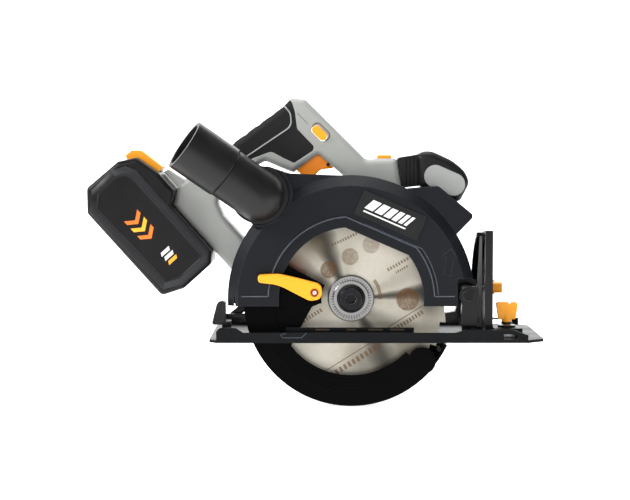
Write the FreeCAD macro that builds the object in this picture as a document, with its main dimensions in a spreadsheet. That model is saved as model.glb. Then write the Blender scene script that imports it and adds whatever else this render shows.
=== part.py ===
import FreeCAD, Part
import math
import os
import re

import Sketcher

# A cordless circular saw. X runs forward, Y away from the blade's open side, Z up.
# The origin is on the underside of the base, below the spindle, in the blade's middle plane.

SIZES = {
    "blade_radius": 82.5, "blade_thick": 1.2, "blade_teeth": 24, "blade_bore": 10.0,
    "kerf_extra": 0.3, "tooth_deep": 5.0,
    "spindle_height": 34.5, "spindle_radius": 7.5, "nose_radius": 5.0, "run_gap": 0.05, "gap": 0.3,
    "flange_radius": 19.6, "flange_thick": 4.0, "bolt_head_radius": 10.5, "bolt_head_long": 6.0,
    "socket_flat": 8.0, "snout_radius": 18.0, "snout_face": 5.3, "bearing_radius": 14.0,
    "bearing_wide": 6.0,
    "upper_rim": 103.5, "upper_face_edge": 95.0, "upper_near": -17.0, "upper_far": 12.0, "sheet": 2.0,
    "window_radius": 60.5, "window_chord": 53.2, "leg_bottom": 29.0, "mould_line": 1.0,
    "lower_rim": 90.0, "lower_near": -11.5, "guard_room": 1.2, "lower_window": 64.0,
    "guard_travel": 105.0, "lever_root": 31.4, "lever_near": -25.0, "lever_thick": 4.5,
    "lever_reach": 50.0, "lever_screw_radius": 3.0,
    "tooth_module": 1.0, "pinion_teeth": 9, "gear_teeth": 46, "gear_wide": 8.0, "gear_start": 18.5,
    "pressure_angle": 25.0, "backlash": 0.25, "shaft_radius": 3.0,
    "motor_lean": 19.0, "motor_radius": 29.0, "motor_long": 46.0, "motor_start": 48.0,
    "rotor_radius": 14.5, "fan_radius": 27.0, "fan_wide": 8.0, "barrel_radius": 34.0,
    "barrel_end": 116.0, "gearbox_near": 12.3, "gearbox_split": 24.0, "gearbox_far": 36.0,
    "gearbox_wall": 3.0,
    "shell_near": 16.5, "shell_split": 32.0, "shell_far": 47.5, "wall": 3.0,
    "grip_angle": 36.0, "grip_thick": 30.0, "grip_long": 58.0, "grip_rear_x": -105.2,
    "grip_rear_z": 160.7, "skin": 1.2, "head_rise": 203.0,
    "battery_angle": 48.0, "rail_x": -151.5, "rail_z": 112.5, "foot_deep": 26.0, "foot_long": 72.7,
    "battery_long": 116.0, "battery_deep": 56.5, "battery_near": -4.0, "battery_far": 68.0,
    "battery_wall": 2.5, "cell_radius": 9.2, "cell_long": 65.0, "latch_travel": 2.5, "latch_wide": 40.0,
    "rail_slide": 70.0, "head_rise_off": 11.0, "foot_tip": -7.0,
    "tongue_long": 38.0, "tongue_high": 5.5, "tongue_wide": 23.0, "contact_start": 18.0, "lock_off_proud": 2.5, "trigger_wide": 15.0, "trigger_swing": 12.0,
    "collar_x": -76.4, "collar_z": 122.2, "collar_radius": 21.5, "port_radius": 21.0,
    "port_bore": 18.0, "port_long": 74.0, "port_angle": 35.0, "port_lean": 11.0,
    "port_plane": -41.0, "port_mouth": 18.3, "port_step": 26.0, "boss_margin": 5.5,
    "lobe_angle": -44.0, "lobe_radius": 11.5, "lever_rest": -40.0,
    "base_rear": -118.0, "base_front": 160.0, "base_near": -33.0, "base_far": 97.0,
    "base_thick": 2.5, "lip_height": 8.5, "lip_thick": 2.5, "slot_near": -19.0, "slot_far": 23.0,
    "slot_rear": -96.0, "slot_front": 92.0, "strip_height": 11.7,
    "pivot_x": 98.0, "pivot_z": 38.0, "pivot_boss": 7.5, "pin_radius": 3.0, "depth_swing": 18.0,
    "bevel_y": -7.0, "bevel_z": 5.0, "bevel_swing": 45.0, "quadrant_radius": 86.0,
    "quadrant_start": 107.0, "quadrant_end": 118.5, "quadrant_edge": 112.0, "stud_reach": 66.0, "stud_angle": 31.0,
    "stud_radius": 3.0, "fence_x": 131.5, "fence_wide": 11.5, "fence_low": 2.8, "fence_high": 7.2,
    "arc_reach": 176.0, "arc_wide": 14.0, "arc_near": 12.6, "arc_thick": 3.0, "arc_slot": 6.4, "lock_angle": -0.6,
    "handle_plane": 32.0, "bow_far": 51.0,
}

doc = FreeCAD.newDocument("CircularSaw")
dims = doc.addObject("Spreadsheet::Sheet", "Dims")
for row, (word, number) in enumerate(SIZES.items(), start=1):
    dims.set("A%d" % row, word)
    dims.set("B%d" % row, str(number))
    dims.setAlias("B%d" % row, word)
doc.recompute()

made = []
CONTACT_SPOTS = (-8, -3, 3, 8)


class Read:
    """Reads the sheet's cells as plain numbers."""

    def __getattr__(self, word):
        return float(dims.get(word))


S = Read()
V = FreeCAD.Vector
ACROSS = V(0, 1, 0)
UP = V(0, 0, 1)
AHEAD = V(1, 0, 0)


def expression(text):
    """The expression with each of the sheet's words put in full."""
    return re.sub(r"[a-z][a-z_]*[a-z]", lambda found: (
        "Dims." + found.group(0) if found.group(0) in SIZES else found.group(0)), str(text))


def bind(thing, prop, text):
    thing.setExpression(prop, expression(text))


def keep(thing, label):
    thing.Label = label
    made.append(thing)
    return thing


def shaped(label, shape):
    """A sub-part whose outline no primitive or sketch feature suits."""
    piece = doc.addObject("Part::Feature", label)
    piece.Shape = shape.removeSplitter() if len(shape.Solids) == 1 else shape
    return keep(piece, label)


def body(label):
    return keep(doc.addObject("PartDesign::Body", label), label)


def sketch(owner, role, offset="0"):
    """A sketch on one of its body's own origin planes, moved along the plane's normal."""
    drawn = owner.newObject("Sketcher::SketchObject", "Sketch")
    plane = [f for f in owner.Origin.OriginFeatures if f.Role == role][0]
    drawn.AttachmentSupport = [(plane, "")]
    drawn.MapMode = "FlatFace"
    bind(drawn, ".AttachmentOffset.Base.z", offset)
    return drawn


def pin_point(drawn, geometry, spot, place):
    """Fixes a sketch point by its two distances from the sketch's origin."""
    for kind, text in zip(("DistanceX", "DistanceY"), place):
        number = float(dims.evalExpression(expression(text)))
        index = drawn.addConstraint(Sketcher.Constraint(kind, -1, 1, geometry, spot, number))
        bind(drawn, "Constraints[%d]" % index, text)


def polygon(drawn, corners):
    """A closed outline whose corners follow the sheet."""
    spots = [V(*[float(dims.evalExpression(expression(t))) for t in c], 0) for c in corners]
    lines = []
    for here, there in zip(spots, spots[1:] + spots[:1]):
        lines.append(drawn.addGeometry(Part.LineSegment(here, there), False))
    for line, after in zip(lines, lines[1:] + lines[:1]):
        drawn.addConstraint(Sketcher.Constraint("Coincident", line, 2, after, 1))
    for line, corner in zip(lines, corners):
        pin_point(drawn, line, 1, corner)


def circle(drawn, place, radius):
    centre = V(*[float(dims.evalExpression(expression(t))) for t in place], 0)
    size = float(dims.evalExpression(expression(radius)))
    round_line = drawn.addGeometry(Part.Circle(centre, V(0, 0, 1), size), False)
    index = drawn.addConstraint(Sketcher.Constraint("Radius", round_line, size))
    bind(drawn, "Constraints[%d]" % index, radius)
    pin_point(drawn, round_line, 3, place)


def pad(owner, drawn, length, back=False):
    raised = owner.newObject("PartDesign::Pad", "Pad")
    raised.Profile = drawn
    bind(raised, "Length", length)
    raised.Reversed = back
    drawn.Visibility = False
    return raised


def pocket(owner, drawn, length, back=False):
    """A cut that must take something away."""
    doc.recompute()
    before = owner.Shape.Volume
    sunk = owner.newObject("PartDesign::Pocket", "Pocket")
    sunk.Profile = drawn
    bind(sunk, "Length", length)
    sunk.Reversed = back
    doc.recompute()
    if owner.Shape.Volume >= before:
        raise RuntimeError("a pocket in %s cuts nothing" % owner.Label)
    return sunk


def turned(label, profile, place=("0", "0", "spindle_height")):
    """A piece turned about an axis along Y: profile corners are (radius, Y)."""
    owner = body(label)
    drawn = sketch(owner, "XY_Plane")
    polygon(drawn, profile)
    spun = owner.newObject("PartDesign::Revolution", "Turned")
    spun.Profile = drawn
    spun.ReferenceAxis = (drawn, ["V_Axis"])
    spun.Angle = 360
    for axis, text in zip("xyz", place):
        bind(owner, ".Placement.Base.%s" % axis, text)
    return owner


def side_plate(label, corners, near, far, holes=()):
    """A flat piece square to Y, from Y near to Y far, with round holes through it."""
    owner = body(label)
    drawn = sketch(owner, "XZ_Plane", "-(%s)" % near)
    polygon(drawn, corners)
    for place, radius in holes:
        circle(drawn, place, radius)
    pad(owner, drawn, "(%s)-(%s)" % (far, near), back=True)
    return owner


def rounded(corners, level=0.0):
    """A closed wire in the XZ plane at Y level: each corner is (x, z, radius)."""
    spots = [V(x, level, z) for x, z, _ in corners]
    edges = []
    ends = []
    for index, (_, _, radius) in enumerate(corners):
        here = spots[index]
        back = (spots[index - 1] - here).normalize()
        ahead = (spots[(index + 1) % len(spots)] - here).normalize()
        half = back.getAngle(ahead) / 2
        reach = radius / math.tan(half)
        start = here + back * reach
        finish = here + ahead * reach
        middle_way = (back + ahead).normalize()
        middle = here + middle_way * (radius / math.sin(half) - radius)
        ends.append((start, finish))
        if radius > 0.01:
            edges.append(Part.Arc(start, middle, finish).toShape())
        else:
            edges.append(None)
    loop = []
    for index, (start, finish) in enumerate(ends):
        if edges[index] is not None:
            loop.append(edges[index])
        following = ends[(index + 1) % len(ends)][0]
        if (following - finish).Length > 1e-6:
            loop.append(Part.makeLine(finish, following))
    return Part.Wire(loop)


def slab(corners, near, far):
    """A prism of a rounded outline between two Y levels."""
    return Part.Face(rounded(corners, near)).extrude(V(0, far - near, 0))


def drum(radius, near, far, x=0.0, z=None):
    return Part.makeCylinder(radius, far - near, V(x, near, S.spindle_height if z is None else z), ACROSS)


def block(x0, x1, y0, y1, z0, z1):
    return Part.makeBox(x1 - x0, y1 - y0, z1 - z0, V(x0, y0, z0))


def soften(shape, radius, wanted):
    """Rounds the edges that the test picks."""
    picked = [edge for edge in shape.Edges if wanted(edge)]
    return shape.makeFillet(radius, picked) if picked else shape


def flat_at(level):
    """Picks edges that lie wholly at one Y level."""
    return lambda edge: all(abs(v.Point.y - level) < 1e-4 for v in edge.Vertexes) and (
        abs(edge.CenterOfMass.y - level) < 1e-4)


def grip_point(along, down, radius=0.0):
    """A corner in the grip's own frame: along the grip's top line and down into it."""
    turn = math.radians(S.grip_angle)
    x = S.grip_rear_x + along * math.cos(turn) + down * math.sin(turn)
    z = S.grip_rear_z + along * math.sin(turn) - down * math.cos(turn)
    return (x, z, radius)


def rail_point(along, off, radius=0.0):
    """A corner in the battery rail's frame: down along the rail, and off it towards the saw."""
    turn = math.radians(S.battery_angle)
    x = S.rail_x + along * math.cos(turn) + off * math.sin(turn)
    z = S.rail_z - along * math.sin(turn) + off * math.cos(turn)
    return (x, z, radius)


def motor_centre():
    """The motor's axis, one gear centre distance above and behind the spindle."""
    reach = S.tooth_module * (S.pinion_teeth + S.gear_teeth) / 2
    turn = math.radians(S.motor_lean)
    return -reach * math.sin(turn), S.spindle_height + reach * math.cos(turn)


# ---- blade, flanges and spindle ----

def saw_blade():
    """A disc with raked teeth and gullets, on the inner flange's pilot."""
    step = 2 * math.pi / S.blade_teeth
    root = S.blade_radius - S.tooth_deep
    corners = []
    for tooth in range(int(S.blade_teeth)):
        turn = -tooth * step
        for radius, share in ((root, 0.0), (root + 1, 0.22), (S.blade_radius - 2.2, 0.62),
                              (S.blade_radius, 0.96), (root + 1.5, 1.0)):
            angle = turn - share * step * 0.999
            corners.append(V(radius * math.cos(angle), -S.blade_thick / 2, radius * math.sin(angle)))
    edge = Part.makePolygon(corners + corners[:1])
    plate = Part.Face(edge).extrude(V(0, S.blade_thick, 0))
    plate.translate(V(0, 0, S.spindle_height))
    shaped("saw_blade", plate.cut(drum(S.blade_bore, -S.blade_thick, S.blade_thick)))


def flanges():
    half = "blade_thick/2"
    pilot = "blade_bore-run_gap"
    turned("inner_flange", [
        ("spindle_radius", "%s" % half), ("spindle_radius", "%s+flange_thick" % half),
        ("flange_radius-4", "%s+flange_thick" % half), ("flange_radius", "%s+flange_thick-1.5" % half),
        ("flange_radius", half), (pilot, half), (pilot, "-(%s)+0.1" % half),
        ("nose_radius+run_gap", "-(%s)+0.1" % half), ("nose_radius+run_gap", half)])
    turned("outer_flange", [
        ("nose_radius+run_gap", "-(%s)" % half), ("nose_radius+run_gap", "-(%s)-flange_thick" % half),
        ("flange_radius-5", "-(%s)-flange_thick" % half),
        ("flange_radius-4", "-(%s)-flange_thick+0.6" % half),
        ("flange_radius-1", "-(%s)-flange_thick+0.6" % half),
        ("flange_radius", "-(%s)-flange_thick+1.6" % half), ("flange_radius", "-(%s)" % half)])


def blade_bolt():
    """The bolt that clamps the flanges, with its washer collar and hexagon socket."""
    face = "-(blade_thick/2)-flange_thick"
    owner = turned("blade_bolt", [
        ("0", "%s-bolt_head_long" % face), ("bolt_head_radius-1.5", "%s-bolt_head_long" % face),
        ("bolt_head_radius-0.5", "%s-bolt_head_long+1" % face),
        ("bolt_head_radius-0.5", "%s-2" % face), ("bolt_head_radius+1.5", "%s-1.5" % face),
        ("bolt_head_radius+1.5", face), ("nose_radius-0.1", face), ("nose_radius-0.1", "0"),
        ("3", "0.5"), ("3", "14"), ("0", "14")])
    drawn = sketch(owner, "XZ_Plane", "-(%s-bolt_head_long)" % face)
    half = "socket_flat/2"
    point = "socket_flat*0.57735"
    polygon(drawn, [(point, "0"), ("(%s)/2" % point, half), ("-(%s)/2" % point, half),
                    ("-(%s)" % point, "0"), ("-(%s)/2" % point, "-(%s)" % half),
                    ("(%s)/2" % point, "-(%s)" % half)])
    pocket(owner, drawn, "bolt_head_long", back=False)


def spindle():
    turned("spindle", [
        ("3", "blade_thick/2"), ("nose_radius", "blade_thick/2"),
        ("spindle_radius-0.02", "blade_thick/2+0.02"), ("spindle_radius-0.02", "gearbox_far-4"),
        ("0", "gearbox_far-4"), ("0", "14"), ("3", "14")])


def bearing(name, places):
    """Ball bearings as plain closed rings: inner race, outer race and shield in one."""
    rings = []
    for x, z, inner, outer, start, wide in places:
        ring = drum(outer, start, start + wide, x, z).cut(drum(inner, start - 1, start + wide + 1, x, z))
        groove = Part.makeTorus((inner + outer) / 2, 1.0, V(x, start, z), ACROSS)
        rings.append(ring.cut(groove))
    shaped(name, rings[0] if len(rings) == 1 else Part.makeCompound(rings))


def involute_gear(teeth, tip, wide, bore, phase):
    """A spur gear along Y about the origin, with involute flanks thinned by the backlash."""
    module = S.tooth_module
    pitch = module * teeth / 2
    pressure = math.radians(S.pressure_angle)
    base = pitch * math.cos(pressure)
    root = pitch - 1.15 * module
    half_pitch = math.pi / (2 * teeth) - S.backlash / (4 * pitch)
    spread = math.tan(pressure) - pressure
    edges = []

    def flank_point(radius, side, middle):
        if radius <= base:
            angle = half_pitch + spread
        else:
            roll = math.acos(base / radius)
            angle = half_pitch + spread - (math.tan(roll) - roll)
        turn = middle + side * angle
        return V(radius * math.cos(turn), 0, radius * math.sin(turn))

    start = max(base, root)
    radii = [start + (tip - start) * share / 4 for share in range(5)]
    for tooth in range(int(teeth)):
        middle = phase + 2 * math.pi * tooth / teeth
        rise = [flank_point(r, -1, middle) for r in radii]
        fall = [flank_point(r, 1, middle) for r in reversed(radii)]
        foot_in = flank_point(root, -1, middle)
        foot_out = flank_point(root, 1, middle)
        next_in = flank_point(root, -1, middle + 2 * math.pi / teeth)
        if (foot_in - rise[0]).Length > 1e-4:
            edges.append(Part.makeLine(foot_in, rise[0]))
        for points in (rise, fall):
            curve = Part.BSplineCurve()
            curve.interpolate(points)
            edges.append(curve.toShape())
            if points is rise:
                edges.append(Part.makeLine(rise[-1], fall[0]))
        if (foot_out - fall[-1]).Length > 1e-4:
            edges.append(Part.makeLine(fall[-1], foot_out))
        edges.append(Part.makeLine(foot_out, next_in))
    blank = Part.Face(Part.Wire(edges)).extrude(V(0, wide, 0))
    return blank.cut(Part.makeCylinder(bore, wide + 2, V(0, -1, 0), ACROSS))


def gears():
    """The motor's pinion in mesh with the spindle's gear, a tooth facing a gap."""
    x, z = motor_centre()
    line = math.atan2(z - S.spindle_height, x)
    gear_tip = S.tooth_module * (S.gear_teeth / 2 + 0.75)
    wheel = involute_gear(S.gear_teeth, gear_tip, S.gear_wide, S.spindle_radius - 0.02,
                          line + math.pi / S.gear_teeth)
    for spoke in range(5):
        angle = 2 * math.pi * spoke / 5
        middle = (S.spindle_radius + gear_tip) / 2 - 0.5
        wheel = wheel.cut(Part.makeCylinder(
            3.2, S.gear_wide + 2, V(middle * math.cos(angle), -1, middle * math.sin(angle)), ACROSS))
    wheel.translate(V(0, S.gear_start, S.spindle_height))
    shaped("spindle_gear", wheel)
    pinion_tip = S.tooth_module * (S.pinion_teeth / 2 + 0.85)
    small = involute_gear(S.pinion_teeth, pinion_tip, S.gear_wide + 2, S.shaft_radius - 0.9,
                          line + math.pi)
    small.translate(V(x, S.gear_start - 1, z))
    shaped("pinion", small)


def motor():
    """Brushless motor: shaft, magnet rotor, cooling fan, stator and two small bearings."""
    x, z = motor_centre()
    end = S.motor_start + S.motor_long
    core = S.shaft_radius - 0.9
    shaft = drum(core, S.gear_start - 3, S.gear_start + S.gear_wide + 2, x, z)
    shaft = shaft.fuse(drum(S.shaft_radius, S.gear_start + S.gear_wide + 1, end + 12, x, z))
    shaped("motor_shaft", shaft.removeSplitter())
    rotor = drum(S.rotor_radius, S.motor_start + 3, end - 3, x, z)
    for slot in range(4):
        angle = math.pi / 4 + slot * math.pi / 2
        groove = drum(1.6, S.motor_start + 2, end - 2,
                      x + S.rotor_radius * math.cos(angle), z + S.rotor_radius * math.sin(angle))
        rotor = rotor.cut(groove)
    shaped("rotor_core", rotor.cut(drum(S.shaft_radius, S.motor_start, end, x, z)))
    stator = drum(S.motor_radius, S.motor_start, end, x, z).cut(
        drum(S.rotor_radius + 0.6, S.motor_start - 1, end + 1, x, z))
    for slot in range(6):
        angle = slot * math.pi / 3
        reach = (S.rotor_radius + S.motor_radius) / 2 + 0.6
        stator = stator.cut(drum(4.2, S.motor_start - 1, end + 1,
                                 x + reach * math.cos(angle), z + reach * math.sin(angle)))
    shaped("stator_core", stator)
    start = S.gearbox_far + 1.5
    fan = drum(S.fan_radius, start, start + 1.5, x, z).fuse(drum(7, start, start + S.fan_wide, x, z))
    for blade in range(11):
        vane = block(6.5, S.fan_radius, -0.7, 0.7, 0, S.fan_wide)
        vane.rotate(V(0, 0, 0), AHEAD, -90)
        vane.rotate(V(0, 0, 0), ACROSS, 360.0 * blade / 11)
        vane.translate(V(x, start, z))
        fan = fan.fuse(vane)
    fan = fan.removeSplitter().cut(drum(S.shaft_radius, start - 2, start + S.fan_wide + 2, x, z))
    shaped("cooling_fan", fan)


def bearings():
    x, z = motor_centre()
    bore = S.spindle_radius + 0.01
    bearing("spindle_bearings", [
        (0, S.spindle_height, bore, S.bearing_radius, S.snout_face + 0.7, S.bearing_wide),
        (0, S.spindle_height, bore, S.bearing_radius - 1, S.gearbox_far - 8, S.bearing_wide - 1)])
    shaft = S.shaft_radius + 0.03
    end = S.motor_start + S.motor_long
    bearing("motor_bearings", [
        (x, z, shaft, 8.0, S.gearbox_far - 7, 5.0), (x, z, shaft, 8.0, end + 5, 5.0)])


# ---- gearbox and housing ----

def gearbox_outline(spread):
    """The gearbox seen along Y: a big round for the gear and a smaller one for the pinion."""
    x, z = motor_centre()
    big = S.tooth_module * (S.gear_teeth / 2 + 1) + spread
    small = 15.0 + spread
    reach = math.hypot(x, z - S.spindle_height)
    lean = math.atan2(z - S.spindle_height, x)
    open_angle = math.acos((big - small) / reach)
    corners = []
    for side in (1, -1):
        angle = lean + side * open_angle
        along = V(math.cos(angle), 0, math.sin(angle))
        corners.append(V(0, 0, S.spindle_height) + along * big)
        corners.append(V(x, 0, z) + along * small)
    quad = Part.makePolygon([corners[0], corners[1], corners[3], corners[2], corners[0]])
    return big, small, quad


def gearbox_solid(spread, near, far):
    x, z = motor_centre()
    big, small, quad = gearbox_outline(spread)
    middle = Part.Face(quad).extrude(V(0, far - near, 0))
    middle.translate(V(0, near, 0))
    whole = drum(big, near, far).fuse([drum(small, near, far, x, z), middle])
    return whole.removeSplitter()


def gearbox():
    """The cast gear case, its snout the lower guard's bearing, and the cover behind it."""
    x, z = motor_centre()
    wall = S.gearbox_wall
    case = gearbox_solid(wall, S.gearbox_near, S.gearbox_split)
    case = case.fuse(drum(S.snout_radius, S.snout_face, S.gearbox_near + 1)).removeSplitter()
    case = case.cut(gearbox_solid(0, S.gearbox_near + wall, S.gearbox_split + 1))
    case = case.cut(drum(S.bearing_radius, S.snout_face + 0.7, S.gearbox_near + wall + 1))
    case = case.cut(drum(S.spindle_radius + S.gap, S.snout_face - 1, S.snout_face + 2))
    shaped("gearbox_case", case)
    cover = gearbox_solid(wall, S.gearbox_split, S.gearbox_far)
    cover = cover.cut(gearbox_solid(0, S.gearbox_split - 1, S.gearbox_far - 9))
    cover = cover.cut(drum(S.bearing_radius - 1, S.gearbox_split, S.gearbox_far - 3))
    cover = cover.cut(drum(8.0, S.gearbox_split, S.gearbox_far - 2, x, z))
    cover = cover.cut(drum(S.shaft_radius + S.gap, S.gearbox_split, S.gearbox_far + 1, x, z))
    shaped("gearbox_cover", cover)


def shell_outline():
    """Outer outline of the two housing halves, seen along Y."""
    x, z = motor_centre()
    belly = z - S.barrel_radius - 1
    foot = S.foot_long
    return [
        rail_point(-9.5, 15.8, 2), grip_point(S.grip_long, 0, 3), (-50.5, S.head_rise, 3),
        (-38.6, S.head_rise - 1, 5), (12.6, 151.2, 6), (38.9, 152.2, 3), (43.8, 126.7, 2),
        (x + S.barrel_radius + 4, 96, 8), (x + S.barrel_radius + 1, belly, 18),
        (x - S.barrel_radius - 1, belly, 18), (x - S.barrel_radius - 4, 50, 5), (-93, 50, 8),
        rail_point(foot, 0, 3), rail_point(0, 0, 0.5), rail_point(S.foot_tip, S.head_rise_off, 1)]


def finger_outline():
    """The opening between the grip, the foot and the body."""
    x, _ = motor_centre()
    deep = S.foot_deep
    return [
        rail_point(61, deep, 4), rail_point(36, deep, 6), grip_point(-33, S.grip_thick, 8),
        grip_point(4, S.grip_thick - 4, 10), grip_point(20, S.grip_thick - 2, 5),
        grip_point(29, S.grip_thick + 13, 5), (-48.5, 140.0, 2), (-27.7, 155.4, 3),
        (-5.6, 136.6, 4), (-12, 112, 8), (-30, 100, 8), (x - S.barrel_radius - 3, 88, 6),
        (x - S.barrel_radius - 10, 76, 5), (-84, 76, 5)]


def shell_solid(near, far, inset):
    """The housing's mass between two Y levels, drawn in from its outline by the inset."""
    outer = rounded(shell_outline(), near)
    inner = rounded(finger_outline(), near)
    if inset:
        outer = outer.makeOffset2D(-inset)
        inner = inner.makeOffset2D(inset)
    whole = Part.Face(outer).extrude(V(0, far - near, 0))
    return whole.cut(Part.Face(inner).extrude(V(0, far - near, 0)))


def grip_zone(near, far, grow=0.0):
    """The stretch of the grip that the soft overmould covers."""
    return slab([
        grip_point(-26, -9, 0), grip_point(67.4, -9, 0), grip_point(67.4, 1.7, 1), grip_point(64.9, 9.2, 3),
        grip_point(57.9, 21.9, 4), grip_point(60.7, 42.2, 1.5), grip_point(58, 44.7, 1.5),
        grip_point(38.8, 43.8 + grow, 2), grip_point(34, 35, 6), grip_point(29, 24.5 + grow, 7),
        grip_point(13, 20.0 + grow, 8), grip_point(-26, 14.5, 0)], near, far)


def trigger_room(near, far, grow):
    """Where the trigger and its switch pass into the grip."""
    return slab([(-48.8 - grow, 140.5 - grow, 0), (-12.6 + grow, 142.5 - grow, 0),
                 (-24 + grow, 163 + grow, 0), (-44 - grow, 163 + grow, 0)], near, far)


def button_room(reach, grow):
    """The slot of the lock-off button, across the head above the trigger."""
    turn = -45.0
    oval = block(-7.5 - grow, 7.5 + grow, S.shell_near - reach, S.shell_far + reach, -3.6 - grow, 3.6 + grow)
    oval = oval.makeFillet(3.5, [e for e in oval.Edges if abs(e.tangentAt(0).y) > 0.9])
    oval.rotate(V(0, 0, 0), ACROSS, -turn)
    oval.translate(V(-26.5, 0, 173.5))
    return oval


def lock_button(grow):
    """The spindle-lock button on top of the body, or with growth its slot."""
    half = 5.0 + grow
    return block(23 - grow, 35 + grow, S.handle_plane - half, S.handle_plane + half, 142 - 10 * grow, 154.8)


def housing():
    """Two shells that meet at the split plane, the far one with the motor's barrel."""
    x, z = motor_centre()
    near, split, far = S.shell_near, S.shell_split, S.shell_far
    gear_room = gearbox_solid(S.gearbox_wall + 0.1, near - 1, S.gearbox_far + 0.1)
    rooms = [trigger_room(S.handle_plane - S.trigger_wide / 2 - 0.4,
                          S.handle_plane + S.trigger_wide / 2 + 0.4, 0.6), button_room(4, 0.35),
             lock_button(0.35), gear_room, tongue_solid(0.4),
             drum(1.52, near + S.wall - 1, far - S.wall + 1, -19.2, 146.6)]
    inner_near = shell_solid(near + S.wall, split + 1, S.wall)
    half = soften(shell_solid(near, split, 0), 5.0, flat_at(near))
    skin = grip_zone(near - 2, far + 2).cut(grip_core())
    half = with_posts(half.cut(inner_near), near + S.wall - 0.5, split).cut(rooms)
    half = half.cut(skin)
    shaped("housing_near", half)
    inner_far = shell_solid(split - 1, far - S.wall, S.wall)
    other = soften(shell_solid(split, far, 0), 5.0, flat_at(far))
    barrel = drum(S.barrel_radius, far - 6, S.barrel_end - 16, x, z)
    other = with_posts(other.fuse(barrel).cut(inner_far), split, far - S.wall + 0.5)
    other = other.cut(drum(S.motor_radius + 0.1, split - 1, S.barrel_end, x, z)).cut(rooms)
    other = other.cut(skin)
    for turn in range(10):
        angle = math.radians(18 * turn + 9)
        vent = block(-1.4, 1.4, far + 8, far + 26, S.motor_radius - 4, S.barrel_radius + 2)
        vent.rotate(V(0, 0, 0), ACROSS, math.degrees(angle) * 2)
        vent.translate(V(x, 0, z))
        other = other.cut(vent)
    shaped("housing_far", other)
    cap = drum(S.barrel_radius, S.barrel_end - 16, S.barrel_end, x, z)
    cap = soften(cap, 5.0, flat_at(S.barrel_end))
    cap = cap.cut(drum(S.barrel_radius - S.wall, S.barrel_end - 17, S.barrel_end - S.wall, x, z))
    end = S.motor_start + S.motor_long
    seat = drum(11.0, end + 5, S.barrel_end - 1, x, z).cut(drum(8.0, end + 4, end + 10, x, z))
    seat = seat.cut(drum(S.shaft_radius + 1, end + 9, end + 13, x, z))
    cap = cap.fuse(seat)
    for level in range(-2, 3):
        side = 22 - 4 * abs(level)
        cap = cap.cut(block(x - side, x + side, S.barrel_end - S.wall - 0.5, S.barrel_end - 1.1,
                            z + level * 9 - 1.5, z + level * 9 + 1.5))
        cap = cap.cut(block(x - side, x + side, S.barrel_end - 1.2, S.barrel_end + 1,
                            z + level * 9 - 1.5, z + level * 9 + 1.5))
    shaped("motor_cap", cap.removeSplitter())


def grip_core():
    """The hard core that the soft skin lies on."""
    near, far = S.shell_near + S.skin, S.shell_far - S.skin
    core = shell_solid(near, far, S.skin)
    return soften(soften(core, 5.0 - S.skin, flat_at(near)), 5.0 - S.skin, flat_at(far))


def grip_overmould():
    """The soft skin of the grip, sunk flush into both shells."""
    body_shape = soften(soften(shell_solid(S.shell_near, S.shell_far, 0), 5.0, flat_at(S.shell_near)),
                        5.0, flat_at(S.shell_far))
    body_shape = body_shape.common(grip_zone(S.shell_near - 2, S.shell_far + 2))
    shaped("grip_overmould", largest(body_shape.cut([grip_core(), button_room(4, 0.35)])))


def front_handle():
    """The bow handle ahead of the body, with a grey inset on its open face."""
    near, far = S.upper_far + 0.8, S.bow_far
    neck = slab([(39.8, 152.4, 2), (62, 156, 2), (62, 129, 2), (44.2, 127.0, 2)], S.shell_near + 2,
                S.shell_far - 2)
    bow = slab([(56, 155.2, 4), (66, 159.4, 14), (86, 150.4, 40), (97.5, 141, 20), (101, 131, 9),
                (92, 114, 6), (74, 119, 5), (58, 128.5, 4)], near, far)
    bow = soften(soften(bow, 6.0, flat_at(near)), 6.0, flat_at(far))
    handle = bow.fuse(neck).removeSplitter()
    handle = handle.cut(button_clear()).cut(inset_solid(0.0))
    handle = handle.cut(shell_solid(S.shell_near - 1, S.shell_far + 1, 0))
    for rib in range(4):
        x = 47 + rib * 3.2
        handle = handle.cut(block(x, x + 1.2, S.shell_near, S.shell_near + 3.2, 128, 156))
    shaped("front_handle", largest(handle))
    shaped("handle_inset", inset_solid(0.0))


def button_clear():
    """Room ahead of the spindle-lock button."""
    return block(21, 37, S.handle_plane - 7, S.handle_plane + 7, 139, 158)


def inset_solid(grow):
    turn = 24.0
    oval = block(-18, 18, S.upper_far + 0.3, S.upper_far + 3.3, -9.5, 9.5)
    oval = oval.makeFillet(9.3, [e for e in oval.Edges if abs(e.tangentAt(0).y) > 0.9])
    oval.rotate(V(0, 0, 0), ACROSS, turn)
    oval.translate(V(79.5, 0, 133.5))
    return oval


def largest(shape):
    """The biggest solid of a shape."""
    return max(shape.Solids, key=lambda solid: solid.Volume)


def trigger():
    """The trigger, swinging about a pin at its upper front corner."""
    half = S.trigger_wide / 2
    near, far = S.handle_plane - half, S.handle_plane + half
    blade = slab([(-46.4, 142.3, 1), (-41.5, 137.6, 3), (-31.5, 136.6, 4), (-25.0, 142.6, 5),
                  (-13.8, 143.4, 1), (-20.5, 151.0, 1.5), (-28.5, 157.5, 1), (-37, 152.0, 1)], near, far)
    blade = soften(blade, 1.6, flat_at(near))
    blade = soften(blade, 1.6, flat_at(far))
    shaped("trigger", blade.cut(drum(1.55, near - 1, far + 1, -19.2, 146.6)))
    pin = drum(1.5, S.shell_near + S.wall, S.shell_far - S.wall, -19.2, 146.6)
    shaped("trigger_pin", pin)


def buttons():
    """The lock-off button across the head and the spindle-lock button on the body."""
    shaped("lock_off_button", button_room(S.lock_off_proud, 0))
    lock = lock_button(0)
    lock = lock.makeFillet(1.2, [e for e in lock.Edges if e.CenterOfMass.z > 154])
    shaped("spindle_lock_button", lock)


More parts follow.
